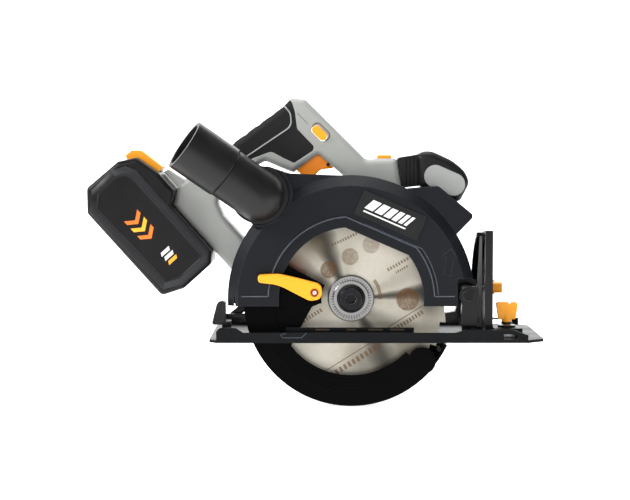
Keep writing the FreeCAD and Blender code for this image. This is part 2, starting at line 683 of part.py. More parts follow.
def electrics():
    """The switch behind the trigger, the motor's control board and the battery contacts."""
    y = S.handle_plane
    half = (S.shell_far - S.shell_near) / 2 - S.wall - S.gap
    switch = block(-55, -37, y - half, y + half, 161, 179).cut(block(-56, -36, y - 1, y + 1, 176, 180))
    shaped("trigger_switch", switch)
    board = block(0, 27, y - 11.8, y + 9, 103, 105)
    for spot in range(3):
        board = board.fuse(block(3 + spot * 8, 8 + spot * 8, y - 7, y + 5, 105, 109))
    shaped("control_board", board.removeSplitter())
    low = S.tongue_high + 0.6
    holder = slab([rail_point(S.contact_start - 4, low), rail_point(S.contact_start - 4, low + 9),
                   rail_point(52, low + 9), rail_point(52, low)], y - half - 0.2, y + half + 0.2)
    for spot in CONTACT_SPOTS:
        holder = holder.cut(contact_solid(spot, 0, S.contact_start + 14))
    shaped("terminal_block", holder)


def screw_places():
    """Where the housing's screws stand, along the foot, the head and the neck."""
    return [rail_point(4, 16)[:2], rail_point(64, 12)[:2], (-44, 194), (6, 147), (33, 133)]


def housing_screws():
    """Screws that clamp the shells, their heads sunk in the far shell."""
    screws = []
    for x, z in screw_places():
        screw = drum(1.6, S.shell_near + 4, S.shell_far - 2, x, z)
        screws.append(screw.fuse(drum(3.2, S.shell_far - 2.2, S.shell_far - 0.2, x, z)).removeSplitter())
    shaped("housing_screws", Part.makeCompound(screws))


def with_posts(half, start, finish):
    """A shell with its screw posts and their holes."""
    for x, z in screw_places():
        half = half.fuse(drum(4.2, start, finish, x, z))
    for x, z in screw_places():
        half = half.cut(drum(1.65, S.shell_near + 3.9, S.shell_far, x, z))
        half = half.cut(drum(3.3, S.shell_far - 2.3, S.shell_far + 1, x, z))
    return half


# ---- guards ----

def upper_outline(shrink):
    """Flat outline of the fixed guard: its rim, the dust boss and the chip chute."""
    rim = S.upper_rim - shrink
    z = S.spindle_height
    disc = Part.Face(Part.Wire(Part.makeCircle(rim, V(0, 0, z), ACROSS)))
    boss = Part.Face(rounded([
        (-80 + 1.4 * shrink, 95, 1), (-98 + 1.4 * shrink, 113, 8), (-96 + shrink, 143.5 - shrink, 12),
        (-70, 145.5 - shrink, 10), (-52, 139.4 - shrink, 14), (-8, z + rim - 0.3, 0), (-8, 100, 1)]))
    chute = Part.Face(rounded([
        (38, z + rim - 10, 1), (44, 126.5 - shrink, 2), (73, 129 - shrink, 3),
        (101.5 - shrink, 105.5, 2), (101.5 - shrink, 102.5, 2), (88 - shrink, 88.5 + shrink, 1),
        (60, 90, 1)]))
    flat = disc.fuse([boss, chute]).removeSplitter()
    below = Part.Face(Part.makePolygon([V(-200, 0, -200), V(200, 0, -200), V(200, 0, S.leg_bottom),
                                        V(-200, 0, S.leg_bottom), V(-200, 0, -200)]))
    notch = Part.Face(Part.makePolygon([V(88.5, 0, -50), V(150, 0, -50), V(150, 0, 52),
                                        V(88.5, 0, 52), V(88.5, 0, -50)]))
    return flat.cut([below, notch]).Faces[0]


def window_outline(radius, chord, level):
    """The guard's viewing window: a round cut off by a slanting chord, open downwards."""
    z = S.spindle_height
    disc = Part.Face(Part.Wire(Part.makeCircle(radius, V(0, level, z), ACROSS)))
    slope = math.radians(23.5)
    normal = V(math.sin(slope), 0, math.cos(slope))
    along = V(math.cos(slope), 0, -math.sin(slope))
    middle = V(0, level, z) + normal * chord
    far = 200.0
    above = Part.Face(Part.makePolygon([
        middle - along * far, middle + along * far, middle + along * far + normal * far,
        middle - along * far + normal * far, middle - along * far]))
    flat = disc.cut(above)
    mouth = Part.Face(Part.makePolygon([
        V(-radius, level, z), V(radius, level, z), V(radius, level, -60), V(-radius, level, -60),
        V(-radius, level, z)]))
    return flat.fuse(mouth).removeSplitter()


def upper_guard():
    """The fixed guard: a shallow case with a bevelled rim, open below for the blade."""
    near, far, sheet = S.upper_near, S.upper_far, S.sheet
    bevel = S.upper_rim - S.upper_face_edge
    whole = upper_outline(0).extrude(V(0, far - near, 0))
    whole.translate(V(0, near, 0))
    z = S.spindle_height
    cone = Part.makeCone(S.upper_face_edge, S.upper_rim, bevel, V(0, near, z), ACROSS)
    ring = drum(S.upper_rim + 30, near - 1, near + bevel).cut(cone)
    boss = S.collar_radius + S.boss_margin
    whole = whole.cut(ring.cut(drum(boss, near - 2, far + 2, S.collar_x, S.collar_z)))
    room = upper_outline(sheet).extrude(V(0, far - near - 2 * sheet, 0))
    room.translate(V(0, near + sheet, 0))
    inner_cone = Part.makeCone(S.upper_face_edge - 0.8, S.upper_rim - 0.8, bevel, V(0, near + sheet, z),
                               ACROSS)
    inner_ring = drum(S.upper_rim + 30, near, near + sheet + bevel).cut(inner_cone)
    room = room.cut(inner_ring.cut(drum(boss - sheet, near - 2, far + 2, S.collar_x, S.collar_z)))
    low = block(-S.lower_rim - 8, 88.5 - sheet, near + sheet, far - sheet, S.leg_bottom - 5, S.leg_bottom + 8)
    guard = whole.cut([room, low])
    window = window_outline(S.window_radius, S.window_chord, near - 5).extrude(V(0, sheet + 6, 0))
    guard = guard.cut(window)
    guard = guard.cut(drum(S.snout_radius + 0.02, far - sheet - 1, far + 1))
    guard = guard.cut(drum(S.collar_radius - 3.0, near - 1, near + sheet + 1, S.collar_x, S.collar_z))
    lip = moulding(near)
    collar = drum(S.collar_radius - 0.4, near - 7, near + 0.1, S.collar_x, S.collar_z)
    collar = collar.cut(drum(S.collar_radius - 3.0, near - 8, near + 1, S.collar_x, S.collar_z))
    lug = drum(S.pivot_boss, 3.4, far, S.pivot_x, S.pivot_z)
    arm = block(84, S.pivot_x, 3.4, far, S.pivot_z - 4, S.pivot_z + 6)
    guard = guard.fuse([lip, collar, lug, arm]).removeSplitter()
    guard = guard.cut(drum(S.pin_radius + 0.02, 2, far + 1, S.pivot_x, S.pivot_z))
    guard = guard.cut(chute_slot())
    bolt_x, bolt_z = depth_bolt_centre()
    guard = guard.cut(drum(2.82, far - sheet - 1, far + 1, bolt_x, bolt_z))
    shaped("upper_guard", largest(guard))


def chute_slot():
    """The chip outlet in the top of the chute."""
    return block(47, 67, -6, 9, 118, 131)


def moulding(near):
    """The raised line around the window and its feet."""
    outer = window_outline(S.window_radius + 9.5, S.window_chord + 9.0, near - S.mould_line)
    inner = window_outline(S.window_radius + 8.3, S.window_chord + 7.8, near - S.mould_line)
    ring = outer.cut(inner).extrude(V(0, S.mould_line + 0.1, 0))
    z = S.spindle_height
    above = block(-90, 86, near - 2, near + 1, z + 2.2, z + 120)
    ring = ring.common(above)
    reach = S.window_radius + 8.3
    feet = [block(-S.upper_face_edge + 3, -reach, near - S.mould_line, near + 0.1, z + 2.2, z + 3.4),
            block(reach, S.upper_face_edge - 8, near - S.mould_line, near + 0.1, z + 2.2, z + 3.4)]
    return ring.fuse(feet)


def name_plate():
    """The blank badge on the guard's face."""
    turn = 23.5
    plate = block(-28.5, 28.5, S.upper_near - 1.1, S.upper_near, -10.8, 10.8)
    plate = plate.makeFillet(2.0, [e for e in plate.Edges if abs(e.tangentAt(0).y) > 0.9])
    plate.rotate(V(0, 0, 0), ACROSS, turn)
    plate.translate(V(32.5, 0, 105.0))
    shaped("name_plate", plate)


def sector(outer, start, finish, near, far):
    """A pie slice about the spindle between two angles in degrees, from +X towards +Z."""
    z = S.spindle_height
    middle = math.radians((start + finish) / 2)
    points = []
    for angle in (math.radians(start), middle, math.radians(finish)):
        points.append(V(outer * math.cos(angle), near, z + outer * math.sin(angle)))
    arc = Part.Arc(*points).toShape()
    centre = V(0, near, z)
    wire = Part.Wire([arc, Part.makeLine(points[2], centre), Part.makeLine(centre, points[0])])
    return Part.Face(wire).extrude(V(0, far - near, 0))


def lower_guard():
    """The swinging guard: hub, disc, rim and the near wall that frames the blade."""
    near, far, rim, sheet = S.lower_near, S.upper_far - S.sheet - S.guard_room, S.lower_rim, S.sheet
    z = S.spindle_height
    sweep = sector(rim, -208, -26, near, far)
    shell = sweep.cut(drum(rim - 2.5, near + sheet, far - sheet))
    sight = drum(S.lower_window, near - 1, near + sheet + 0.5)
    rear = sector(S.lower_window + 1, -208, -172, near - 1, near + sheet + 0.5)
    sight = sight.cut(rear.cut(drum(25.0, near - 2, near + sheet + 1)))
    shell = shell.cut(sight)
    hub = drum(S.snout_radius + 5.5, far - sheet - 1.2, far)
    shell = shell.fuse(hub).removeSplitter()
    shell = shell.cut(drum(S.snout_radius + S.run_gap, near - 5, far + 1))
    shell = shell.cut(sector(rim + 5, S.lobe_angle, -20, near - 1, near + sheet + 3))
    lobe_turn = math.radians(S.lobe_angle + 3)
    lobe_reach = rim - S.lobe_radius + 0.6
    lobe = drum(S.lobe_radius, near, near + sheet, lobe_reach * math.cos(lobe_turn),
                z + lobe_reach * math.sin(lobe_turn))
    shell = shell.fuse(lobe).removeSplitter()
    root_x, root_z = lever_centre()
    boss = drum(6.0, S.lever_near + S.lever_thick, near + sheet, root_x, root_z)
    shell = shell.fuse(boss).removeSplitter()
    shell = shell.cut(drum(1.5, S.lever_near, near + sheet - 0.5, root_x, root_z))
    shaped("lower_guard", largest(shell))
    tip = math.radians(-30)
    reach = rim - 4.45
    bumper = drum(1.9, near + sheet + 3.2, far - sheet, reach * math.cos(tip), z + reach * math.sin(tip))
    shaped("guard_bumper", bumper)


def lever_centre():
    turn = math.radians(168)
    return S.lever_root * math.cos(turn), S.spindle_height + S.lever_root * math.sin(turn)


def retract_lever():
    """The finger lever that lifts the lower guard, screwed to its near wall."""
    x, z = lever_centre()
    near = S.lever_near
    reach = S.lever_reach
    lever = slab([
        (x + 6, z + 7.0, 6), (x + 6.5, z - 5.5, 6), (x - 4, z - 7.0, 9), (x - 0.6 * reach, z + 6.5, 36),
        (x - 0.93 * reach, z + 8.3, 2.4), (x - 0.95 * reach, z + 15.0, 3.0),
        (x - 0.6 * reach, z + 15.8, 24), (x - 0.3 * reach, z + 12.5, 12)], near, near + S.lever_thick)
    lever = soften(lever, 1.2, flat_at(near))
    lever = lever.cut(drum(S.lever_screw_radius + 0.6, near - 1, near + 1.8, x, z))
    lever = lever.cut(drum(1.6, near - 1, near + S.lever_thick + 1, x, z))
    shaped("retract_lever", lever)
    screw = drum(S.lever_screw_radius, near + 0.2, near + 1.8, x, z)
    screw = screw.fuse(drum(1.45, near + 1.7, S.lower_near + 1.0, x, z)).removeSplitter()
    screw = screw.cut(block(x - 2, x + 2, near, near + 0.9, z - 0.4, z + 0.4))
    screw = screw.cut(block(x - 0.4, x + 0.4, near, near + 0.9, z - 2, z + 2))
    shaped("lever_screw", screw)


def guard_screws():
    """Screws that hold the fixed guard to the gear case."""
    screws = []
    for angle in (45, 135, 200, 340):
        turn = math.radians(angle)
        x = (S.snout_radius + 6.5) * math.cos(turn)
        z = S.spindle_height + (S.snout_radius + 6.5) * math.sin(turn)
        screws.append(drum(2.6, S.upper_far - S.sheet - 0.9, S.upper_far - S.sheet, x, z))
    shaped("guard_screws", Part.makeCompound(screws))


def dust_port():
    """The swivelling elbow and spigot for a hose, on the fixed guard's collar."""
    x, z, y = S.collar_x, S.collar_z, S.port_plane
    out, bore = S.port_radius, S.port_bore
    turn = math.radians(S.port_angle)
    lean = math.radians(S.port_lean)
    along = V(-math.cos(turn) * math.cos(lean), -math.sin(lean), math.sin(turn) * math.cos(lean))
    centre = V(x, y, z)
    seat_near = S.upper_near - 0.4
    skirt = drum(S.collar_radius + 2.3, S.upper_near - 10, seat_near, x, z)
    trunk = drum(out, y, seat_near - 6, x, z)
    ball = Part.makeSphere(out, centre)
    spigot = Part.makeCylinder(out, S.port_long, centre, along)
    step = Part.makeCylinder(out + 0.8, S.port_long - 34, centre + along * 34, along)
    outer = skirt.fuse([trunk, ball, spigot, step]).removeSplitter()
    inner = drum(bore, y, seat_near + 1, x, z).fuse(
        [Part.makeSphere(bore, centre), Part.makeCylinder(bore, S.port_long + 2, centre, along)])
    mouth = Part.makeCylinder(S.port_mouth, S.port_long, centre + along * S.port_step, along)
    inner = inner.fuse(mouth)
    socket = drum(S.collar_radius - 0.4 + 0.3, S.upper_near - 7.6, seat_near + 1, x, z)
    shaped("dust_port", outer.cut([inner, socket]).removeSplitter())


# ---- base ----

def base_plate():
    """The pressed steel base: a plate with the blade's slot, turned-up edges and fence slots."""
    owner = body("base_plate")
    flat = sketch(owner, "XY_Plane")
    polygon(flat, [("base_rear", "base_near+6"), ("base_rear+6", "base_near"),
                   ("base_front-14", "base_near"), ("base_front", "base_near+12"),
                   ("base_front", "base_far-8"), ("base_front-8", "base_far"),
                   ("base_rear+8", "base_far"), ("base_rear", "base_far-8")])
    polygon(flat, [("slot_rear", "slot_near"), ("slot_front", "slot_near"), ("slot_front", "slot_far"),
                   ("slot_rear", "slot_far")])
    pad(owner, flat, "base_thick")
    lip = sketch(owner, "XZ_Plane", "-base_near")
    polygon(lip, [("base_rear+6", "0"), ("base_front-14", "0"), ("base_front-14", "lip_height-2"),
                  ("base_front-26", "lip_height+2.4"), ("base_front-66", "lip_height+2.4"),
                  ("base_front-74", "lip_height"), ("base_rear+28", "lip_height"),
                  ("base_rear+22", "lip_height+4"), ("base_rear+9", "lip_height+4"),
                  ("base_rear+6", "lip_height+1")])
    polygon(lip, [("fence_x-fence_wide/2", "fence_low"), ("fence_x+fence_wide/2", "fence_low"),
                  ("fence_x+fence_wide/2", "fence_high"), ("fence_x-fence_wide/2", "fence_high")])
    pad(owner, lip, "lip_thick", back=True)
    far = sketch(owner, "XZ_Plane", "-(base_far-lip_thick)")
    polygon(far, [("base_rear+8", "0"), ("base_front-8", "0"), ("base_front-8", "lip_height"),
                  ("base_rear+8", "lip_height")])
    polygon(far, [("fence_x-fence_wide/2", "fence_low"), ("fence_x+fence_wide/2", "fence_low"),
                  ("fence_x+fence_wide/2", "fence_high"), ("fence_x-fence_wide/2", "fence_high")])
    pad(owner, far, "lip_thick", back=True)
    strip = sketch(owner, "XZ_Plane", "-(slot_near-lip_thick-0.5)")
    polygon(strip, [("-54", "0"), ("52", "0"), ("52", "strip_height"), ("-54", "strip_height")])
    pad(owner, strip, "lip_thick", back=True)
    bridge = sketch(owner, "YZ_Plane", "fence_x-fence_wide/2-6")
    polygon(bridge, [("-14", "0"), ("16", "0"), ("16", "fence_high+3"), ("-14", "fence_high+3")])
    pad(owner, bridge, "fence_wide+12")
    tunnel = sketch(owner, "XZ_Plane", "20")
    polygon(tunnel, [("fence_x-fence_wide/2", "fence_low"), ("fence_x+fence_wide/2", "fence_low"),
                     ("fence_x+fence_wide/2", "fence_high"), ("fence_x-fence_wide/2", "fence_high")])
    pocket(owner, tunnel, "44", back=False)
    hole = sketch(owner, "XY_Plane", "fence_high-1")
    circle(hole, ("fence_x", "1"), "stud_radius+0.05")
    pocket(owner, hole, "8", back=True)


def bevel_lugs():
    """Ears on the base that carry the two bevel pins, one ahead and one behind the blade."""
    owner_sizes = (("front_lug", "101"), ("rear_lug", "-112"))
    for label, start in owner_sizes:
        owner = body(label)
        drawn = sketch(owner, "YZ_Plane", start)
        polygon(drawn, [("bevel_y-5", "base_thick"), ("bevel_y+5", "base_thick"),
                        ("bevel_y+5", "bevel_z+1"), ("bevel_y+3.4", "bevel_z+4.4"),
                        ("bevel_y-3.4", "bevel_z+4.4"), ("bevel_y-5", "bevel_z+1")])
        circle(drawn, ("bevel_y", "bevel_z+1"), "2.02")
        pad(owner, drawn, "3.5")


def bevel_pins():
    pins = []
    for start, finish in ((93.0, 105.0), (-112.5, -100.0)):
        pins.append(Part.makeCylinder(2.0, finish - start, V(start, S.bevel_y, S.bevel_z + 1), AHEAD))
    shaped("bevel_pins", Part.makeCompound(pins))


def bevel_eye(start, end, top):
    """The rounded eye of a link, hanging on its bevel pin."""
    y, z = S.bevel_y, S.bevel_z + 1
    eye = Part.makeCylinder(3.2, end - start, V(start, y, z), AHEAD)
    return eye.fuse(block(start, end, y - 3.2, y + 3.2, z, top)).removeSplitter()


def pivot_casting():
    """The front link: it turns on the saw's pivot pin and carries the bevel pin and stud."""
    x, z, boss = S.pivot_x, S.pivot_z, S.pivot_boss
    ear_near = drum(boss, -13.5, 3.1, x, z)
    ear_far = drum(boss + 6, S.upper_far + 0.3, 24.0, x, z).common(block(60, 106.5, 0, 40, 0, 80))
    web_near = slab([(x - 5, z, 0), (x + boss, z, 0), (x + boss, 12, 1), (x - 6, 12, 1)], -13.5, -1)
    web_far = slab([(x - 5, z, 0), (x + boss, z, 0), (x + boss, 12, 1), (72, 12, 1), (72, 19, 1),
                    (x - 9, 22, 2)], S.upper_far + 1.3, 24.0)
    floor = block(x - 6, x + boss, -13.5, 24.0, 12.0, 18.0)
    shoulder = block(x, 106.5, -13.5, -5, 20, z + 7)
    shoulder = shoulder.makeFillet(2.5, [e for e in shoulder.Edges if abs(e.tangentAt(0).y) > 0.9])
    hang = bevel_eye(x - 5, 100.7, 13.0)
    turn = math.radians(S.stud_angle)
    stud_y = S.bevel_y + S.stud_reach * math.cos(turn)
    stud_z = S.bevel_z + 1 + S.stud_reach * math.sin(turn)
    arm = block(100, 105.5, 18, stud_y, stud_z - 7, stud_z + 7)
    knuckle = Part.makeCylinder(7.0, 5.5, V(100, stud_y, stud_z), AHEAD)
    link = ear_near.fuse([ear_far, web_near, web_far, floor, shoulder, hang, arm, knuckle])
    link = link.removeSplitter()
    link = link.cut(drum(S.pin_radius + S.run_gap, -20, 30, x, z))
    link = link.cut(Part.makeCylinder(2.0 + S.run_gap, 20, V(90, S.bevel_y, S.bevel_z + 1), AHEAD))
    link = link.cut(Part.makeCylinder(S.stud_radius + 0.02, 10, V(98, stud_y, stud_z), AHEAD))
    shaped("pivot_casting", largest(link))
    pin = drum(S.pin_radius, -15.0, 25.5, x, z).fuse(drum(S.pin_radius + 2, -16.0, -13.6, x, z))
    shaped("pivot_pin", pin.removeSplitter())


def arc_wall(reach, wide, start, finish, near, thick):
    """A band curved about the depth pivot, from one angle to another in degrees."""
    x, z = S.pivot_x, S.pivot_z
    edges = []
    for radius, angles in ((reach + wide / 2, (start, finish)), (reach - wide / 2, (finish, start))):
        middle = sum(angles) / 2
        spots = []
        for angle in (angles[0], middle, angles[1]):
            turn = math.radians(angle)
            spots.append(V(x - radius * math.cos(turn), near, z + radius * math.sin(turn)))
        edges.append(spots)
    wire = Part.Wire([
        Part.Arc(*edges[0]).toShape(), Part.makeLine(edges[0][2], edges[1][0]),
        Part.Arc(*edges[1]).toShape(), Part.makeLine(edges[1][2], edges[0][0])])
    return Part.Face(wire).extrude(V(0, thick, 0))


def rear_bracket():
    """The rear link: a foot on the rear bevel pin and the slotted depth arc."""
    low = S.lock_angle
    arc = arc_wall(S.arc_reach, S.arc_wide, low - 6, low + S.depth_swing + 4.5, S.arc_near, S.arc_thick)
    arc = arc.cut(arc_wall(S.arc_reach, S.arc_slot, low - 1.5, low + S.depth_swing + 1.5,
                           S.arc_near - 1, S.arc_thick + 2))
    foot = block(-108.2, -68, S.arc_near, S.arc_near + S.arc_thick, 13.0, 20.0)
    shelf = block(-108.2, -100.5, S.bevel_y - 5, S.arc_near + S.arc_thick, 13.0, 16.0)
    hang = bevel_eye(-108.2, -100.5, 14.0)
    y = S.bevel_y
    post = slab([(-117, 13, 2), (-105, 13, 0), (-105, 33, 3), (-112, 33, 5)], y - 5, y + 5)
    post = post.cut(block(-114.5, -108, y - 6, y - 3.5, 16, 28))
    bracket = arc.fuse([foot, shelf, hang, post]).removeSplitter()
    bracket = bracket.cut(Part.makeCylinder(2.0 + S.run_gap, 20, V(-115, S.bevel_y, S.bevel_z + 1), AHEAD))
    shaped("rear_bracket", largest(bracket))


def depth_bolt_centre():
    """Where the depth bolt stands, on the arc about the depth pivot."""
    turn = math.radians(S.lock_angle)
    return S.pivot_x - S.arc_reach * math.cos(turn), S.pivot_z + S.arc_reach * math.sin(turn)


def depth_lock():
    """The bolt through the depth arc and the lever that clamps it."""
    x, z = depth_bolt_centre()
    arc_far = S.arc_near + S.arc_thick
    bolt = drum(2.8, S.upper_far - S.sheet, 34.0, x, z)
    bolt = bolt.fuse(drum(5.0, S.upper_far - S.sheet - 1.0, S.upper_far - S.sheet, x, z)).removeSplitter()
    shaped("depth_bolt", bolt)
    washer = drum(7.5, arc_far + 0.3, arc_far + 2.0, x, z).cut(drum(2.85, arc_far, arc_far + 3, x, z))
    shaped("depth_washer", washer)
    hub = drum(7.0, arc_far + 2.3, arc_far + 12, x, z)
    handle = block(x - 30, x, arc_far + 5, arc_far + 11, z - 3.5, z + 3.5)
    handle = handle.makeFillet(2.4, [e for e in handle.Edges if abs(e.tangentAt(0).x) > 0.9])
    handle.rotate(V(x, 0, z), ACROSS, S.lever_rest)
    lever = hub.fuse(handle).removeSplitter().cut(drum(2.85, arc_far, 40, x, z))
    shaped("depth_lever", lever)


def bevel_quadrant():
    """The flanged quarter plate on the base's front, with the bevel slot."""
    y, z = S.bevel_y, S.bevel_z + 1
    start, end, radius = S.quadrant_start, S.quadrant_end, S.quadrant_radius
    quarter = Part.makeCylinder(radius, end - start, V(start, y, z), AHEAD)
    quarter = quarter.common(block(start, end, y - 5, y + radius, S.base_thick, z + radius))
    room = Part.makeCylinder(radius - 3, end, V(start - 1, y, z), AHEAD)
    room = room.common(block(start - 1, end - 2.5, y - 2, y + radius, S.base_thick - 1, z + radius))
    edge_room = block(start - 1, S.quadrant_edge, y - 6, S.upper_far + 2, S.base_thick - 1, z + radius + 1)
    plate = quarter.cut([room, edge_room])
    ring = Part.makeCylinder(S.stud_reach + S.stud_radius + 0.4, 10, V(end - 6, y, z), AHEAD).cut(
        Part.makeCylinder(S.stud_reach - S.stud_radius - 0.4, 12, V(end - 7, y, z), AHEAD))
    wedge = []
    for angle in (S.stud_angle - 4, S.stud_angle + S.bevel_swing + 4):
        turn = math.radians(angle)
        wedge.append(V(end - 7, y + 200 * math.cos(turn), z + 200 * math.sin(turn)))
    slice_face = Part.Face(Part.makePolygon([V(end - 7, y, z), wedge[0], wedge[1], V(end - 7, y, z)]))
    plate = plate.cut(ring.common(slice_face.extrude(V(12, 0, 0))))
    shaped("bevel_quadrant", largest(plate))


def bevel_lock():
    """The stud from the front link through the quadrant, and its orange knob."""
    turn = math.radians(S.stud_angle)
    y = S.bevel_y + S.stud_reach * math.cos(turn)
    z = S.bevel_z + 1 + S.stud_reach * math.sin(turn)
    end = S.quadrant_end
    stud = Part.makeCylinder(S.stud_radius, end + 10 - 100, V(100, y, z), AHEAD)
    shaped("bevel_stud", stud)
    knob = Part.makeCylinder(6.5, 6.0, V(end + 1.0, y, z), AHEAD)
    wing = block(end + 4, end + 13, y - 11, y + 11, z - 4.5, z + 4.5)
    wing = wing.makeFillet(2.6, [e for e in wing.Edges if abs(e.tangentAt(0).x) > 0.9])
    knob = knob.fuse(wing).removeSplitter()
    bore = Part.makeCylinder(S.stud_radius + 0.05, 10.6, V(end, y, z), AHEAD)
    shaped("bevel_knob", knob.cut(bore))


def fence_clamp():
    """The wing screw that clamps a rip fence in its tunnel, with its foot washer."""
    x, y, top = S.fence_x, 1.0, S.fence_high + 3
    washer = Part.makeCylinder(7.5, 1.6, V(x, y, top), UP).cut(
        Part.makeCylinder(S.stud_radius + 0.1, 4, V(x, y, top - 1), UP))
    shaped("fence_washer", washer)
    stem = Part.makeCylinder(S.stud_radius, 9.0 + 4, V(x, y, S.fence_high + 0.4), UP)
    hub = Part.makeCylinder(4.2, 6.0, V(x, y, top + 4.0), UP)
    wing = slab([(x - 7.2, top + 6.6, 1.5), (x + 7.2, top + 6.6, 1.5), (x + 9.3, top + 21, 2.2),
                 (x - 9.3, top + 21, 2.2)], y - 3.5, y + 3.5)
    wing = wing.cut(drum(1.6, y - 5, y + 5, x + 2.4, top + 21.2))
    shaped("fence_screw", stem.fuse([hub, wing]).removeSplitter())


# ---- battery ----

def battery_outline(inset=0.0):
    """The battery pack's side outline in the rail's frame."""
    deep, long = S.battery_deep, S.battery_long
    top = -57.0 + inset
    end = top + long - 2 * inset
    low = -deep + inset
    high = -inset
    head = S.head_rise_off - inset
    return [
        rail_point(top, high - 8, 3), rail_point(top + 8, head - 5, 3), rail_point(top + 30, head, 3),
        rail_point(S.foot_tip - S.gap - inset, head, 1), rail_point(-S.gap - inset, high - S.gap, 0.5),
        rail_point(end - 7, high - S.gap, 3), rail_point(end, high - 8, 3),
        rail_point(end, low + 18, 3), rail_point(end - 8, low, 5), rail_point(top + 15, low, 5),
        rail_point(top - 1, low + 14, 4)]


def battery():
    """The pack: two shells around ten cells, a sliding head in the saw's rail, contacts."""
    near, far, wall = S.battery_near, S.battery_far, S.battery_wall
    split = (near + far) / 2
    whole = slab(battery_outline(), near, far)
    whole = soften(whole, 4.0, flat_at(near))
    whole = soften(whole, 4.0, flat_at(far))
    hollow = slab(battery_outline(wall), near + wall, far - wall)
    tongue = tongue_solid(0.0)
    for spot in CONTACT_SPOTS:
        tongue = tongue.cut(contact_solid(spot, 0.4, S.tongue_long + 1))
    cut_near = block(-400, 100, split, far + 5, -100, 300)
    cut_far = block(-400, 100, near - 5, split, -100, 300)
    tray = whole.cut(hollow).fuse(tongue).removeSplitter()
    panel = slab([rail_point(-42, -32, 2), rail_point(-31, -17, 3), rail_point(44, -15, 3),
                  rail_point(49, -28, 3), rail_point(46, -46, 3), rail_point(-30, -46, 4)],
                 near - 1, near + 0.8)
    latch_room = latch_solid(0.4).fuse(latch_solid(0.4, S.latch_travel))
    shaped("battery_shell_near", largest(tray.cut([cut_near, panel, latch_room])))
    shaped("battery_shell_far", largest(tray.cut([cut_far, latch_room])))
    label = slab([rail_point(-42, -32, 2), rail_point(-31, -17, 3), rail_point(44, -15, 3),
                  rail_point(49, -28, 3), rail_point(46, -46, 3), rail_point(-30, -46, 4)],
                 near + 0.1, near + 0.8)
    shaped("battery_panel", label)
    cells = []
    pitch = 2 * S.cell_radius + 0.8
    for row, off in enumerate((-S.battery_deep + wall + S.cell_radius + 0.6,
                               -S.battery_deep + wall + S.cell_radius + 0.6 + pitch)):
        for number in range(5):
            x, z, _ = rail_point(-36.5 + number * pitch, off)
            cells.append(drum(S.cell_radius, split - S.cell_long / 2, split + S.cell_long / 2, x, z))
    shaped("battery_cells", Part.makeCompound(cells))


def tongue_solid(grow):
    """The battery's sliding tongue, or with growth the foot's channel for it."""
    half = S.tongue_wide / 2 + grow
    start = S.foot_tip - 3 - 10 * grow
    return slab([rail_point(start, -1.5), rail_point(S.tongue_long + grow, -1.5),
                 rail_point(S.tongue_long + grow, S.tongue_high + grow),
                 rail_point(start, S.tongue_high + grow)], S.handle_plane - half, S.handle_plane + half)


def contact_solid(spot, grow, end):
    """One contact blade standing off the terminal block, or with growth its slot."""
    y = S.handle_plane + spot
    return slab([rail_point(S.contact_start - grow, 1.2 - grow), rail_point(end, 1.2 - grow),
                 rail_point(end, S.tongue_high + 1), rail_point(S.contact_start - grow, S.tongue_high + 1)],
                y - 0.4 - grow, y + 0.4 + grow)


def battery_contacts():
    blades = [contact_solid(spot, 0, S.contact_start + 14) for spot in CONTACT_SPOTS]
    shaped("battery_contacts", Part.makeCompound(blades))


def latch_solid(grow, sink=0.0):
    """The orange release latch on the pack's upper end; with sink, where it goes when pressed."""
    half = S.latch_wide / 2 + grow
    corners = [(-57.5 - grow, -1 - grow, 1), (-57.0 - grow, 6 + grow, 2), (-51.5, 11.8 + grow, 2),
               (-29 + grow, 15.8 + grow, 0.5), (-28 + grow, 8 - grow, 0.5), (-47 + grow, 2.5 - grow, 1),
               (-53 + grow, -2.5 - grow, 0.5)]
    return slab([rail_point(u, v - sink, r) for u, v, r in corners],
                S.handle_plane - half, S.handle_plane + half)


def battery_latch():
    shaped("battery_latch", latch_solid(0.0))


def guard_spring():
    """The return spring of the lower guard, wound around the gear case's snout."""
    z = S.spindle_height
    coil = Part.makeTorus(S.snout_radius + 1.1, 0.55, V(0, S.upper_far - S.sheet - 0.6, z), ACROSS)
    shaped("guard_spring", coil)


def check_and_write():
    """Stops on any failed object, then writes one STEP file for each sub-part."""
    doc.recompute()
    faults = [o.Label for o in doc.Objects if "Invalid" in o.State or "Error" in o.State]
    for piece in made:
        if piece.Shape.isNull() or not piece.Shape.isValid() or not piece.Shape.Solids:
            faults.append(piece.Label)
    if faults:
        raise RuntimeError("failed: %s" % ", ".join(sorted(set(faults))))
    os.makedirs("parts", exist_ok=True)
    for piece in made:
        piece.Shape.exportStep("parts/%s.step" % piece.Label)
        print(piece.Label, len(piece.Shape.Solids), round(piece.Shape.Volume))


saw_blade()
flanges()
blade_bolt()
spindle()
gears()
motor()
bearings()
gearbox()
housing()
grip_overmould()
front_handle()
trigger()
buttons()
electrics()
housing_screws()
upper_guard()
name_plate()
guard_screws()
guard_spring()
lower_guard()
retract_lever()
dust_port()
base_plate()
bevel_lugs()
bevel_pins()
pivot_casting()
rear_bracket()
depth_lock()
bevel_quadrant()
bevel_lock()
fence_clamp()
battery()
battery_contacts()
battery_latch()
check_and_write()
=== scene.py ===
import math

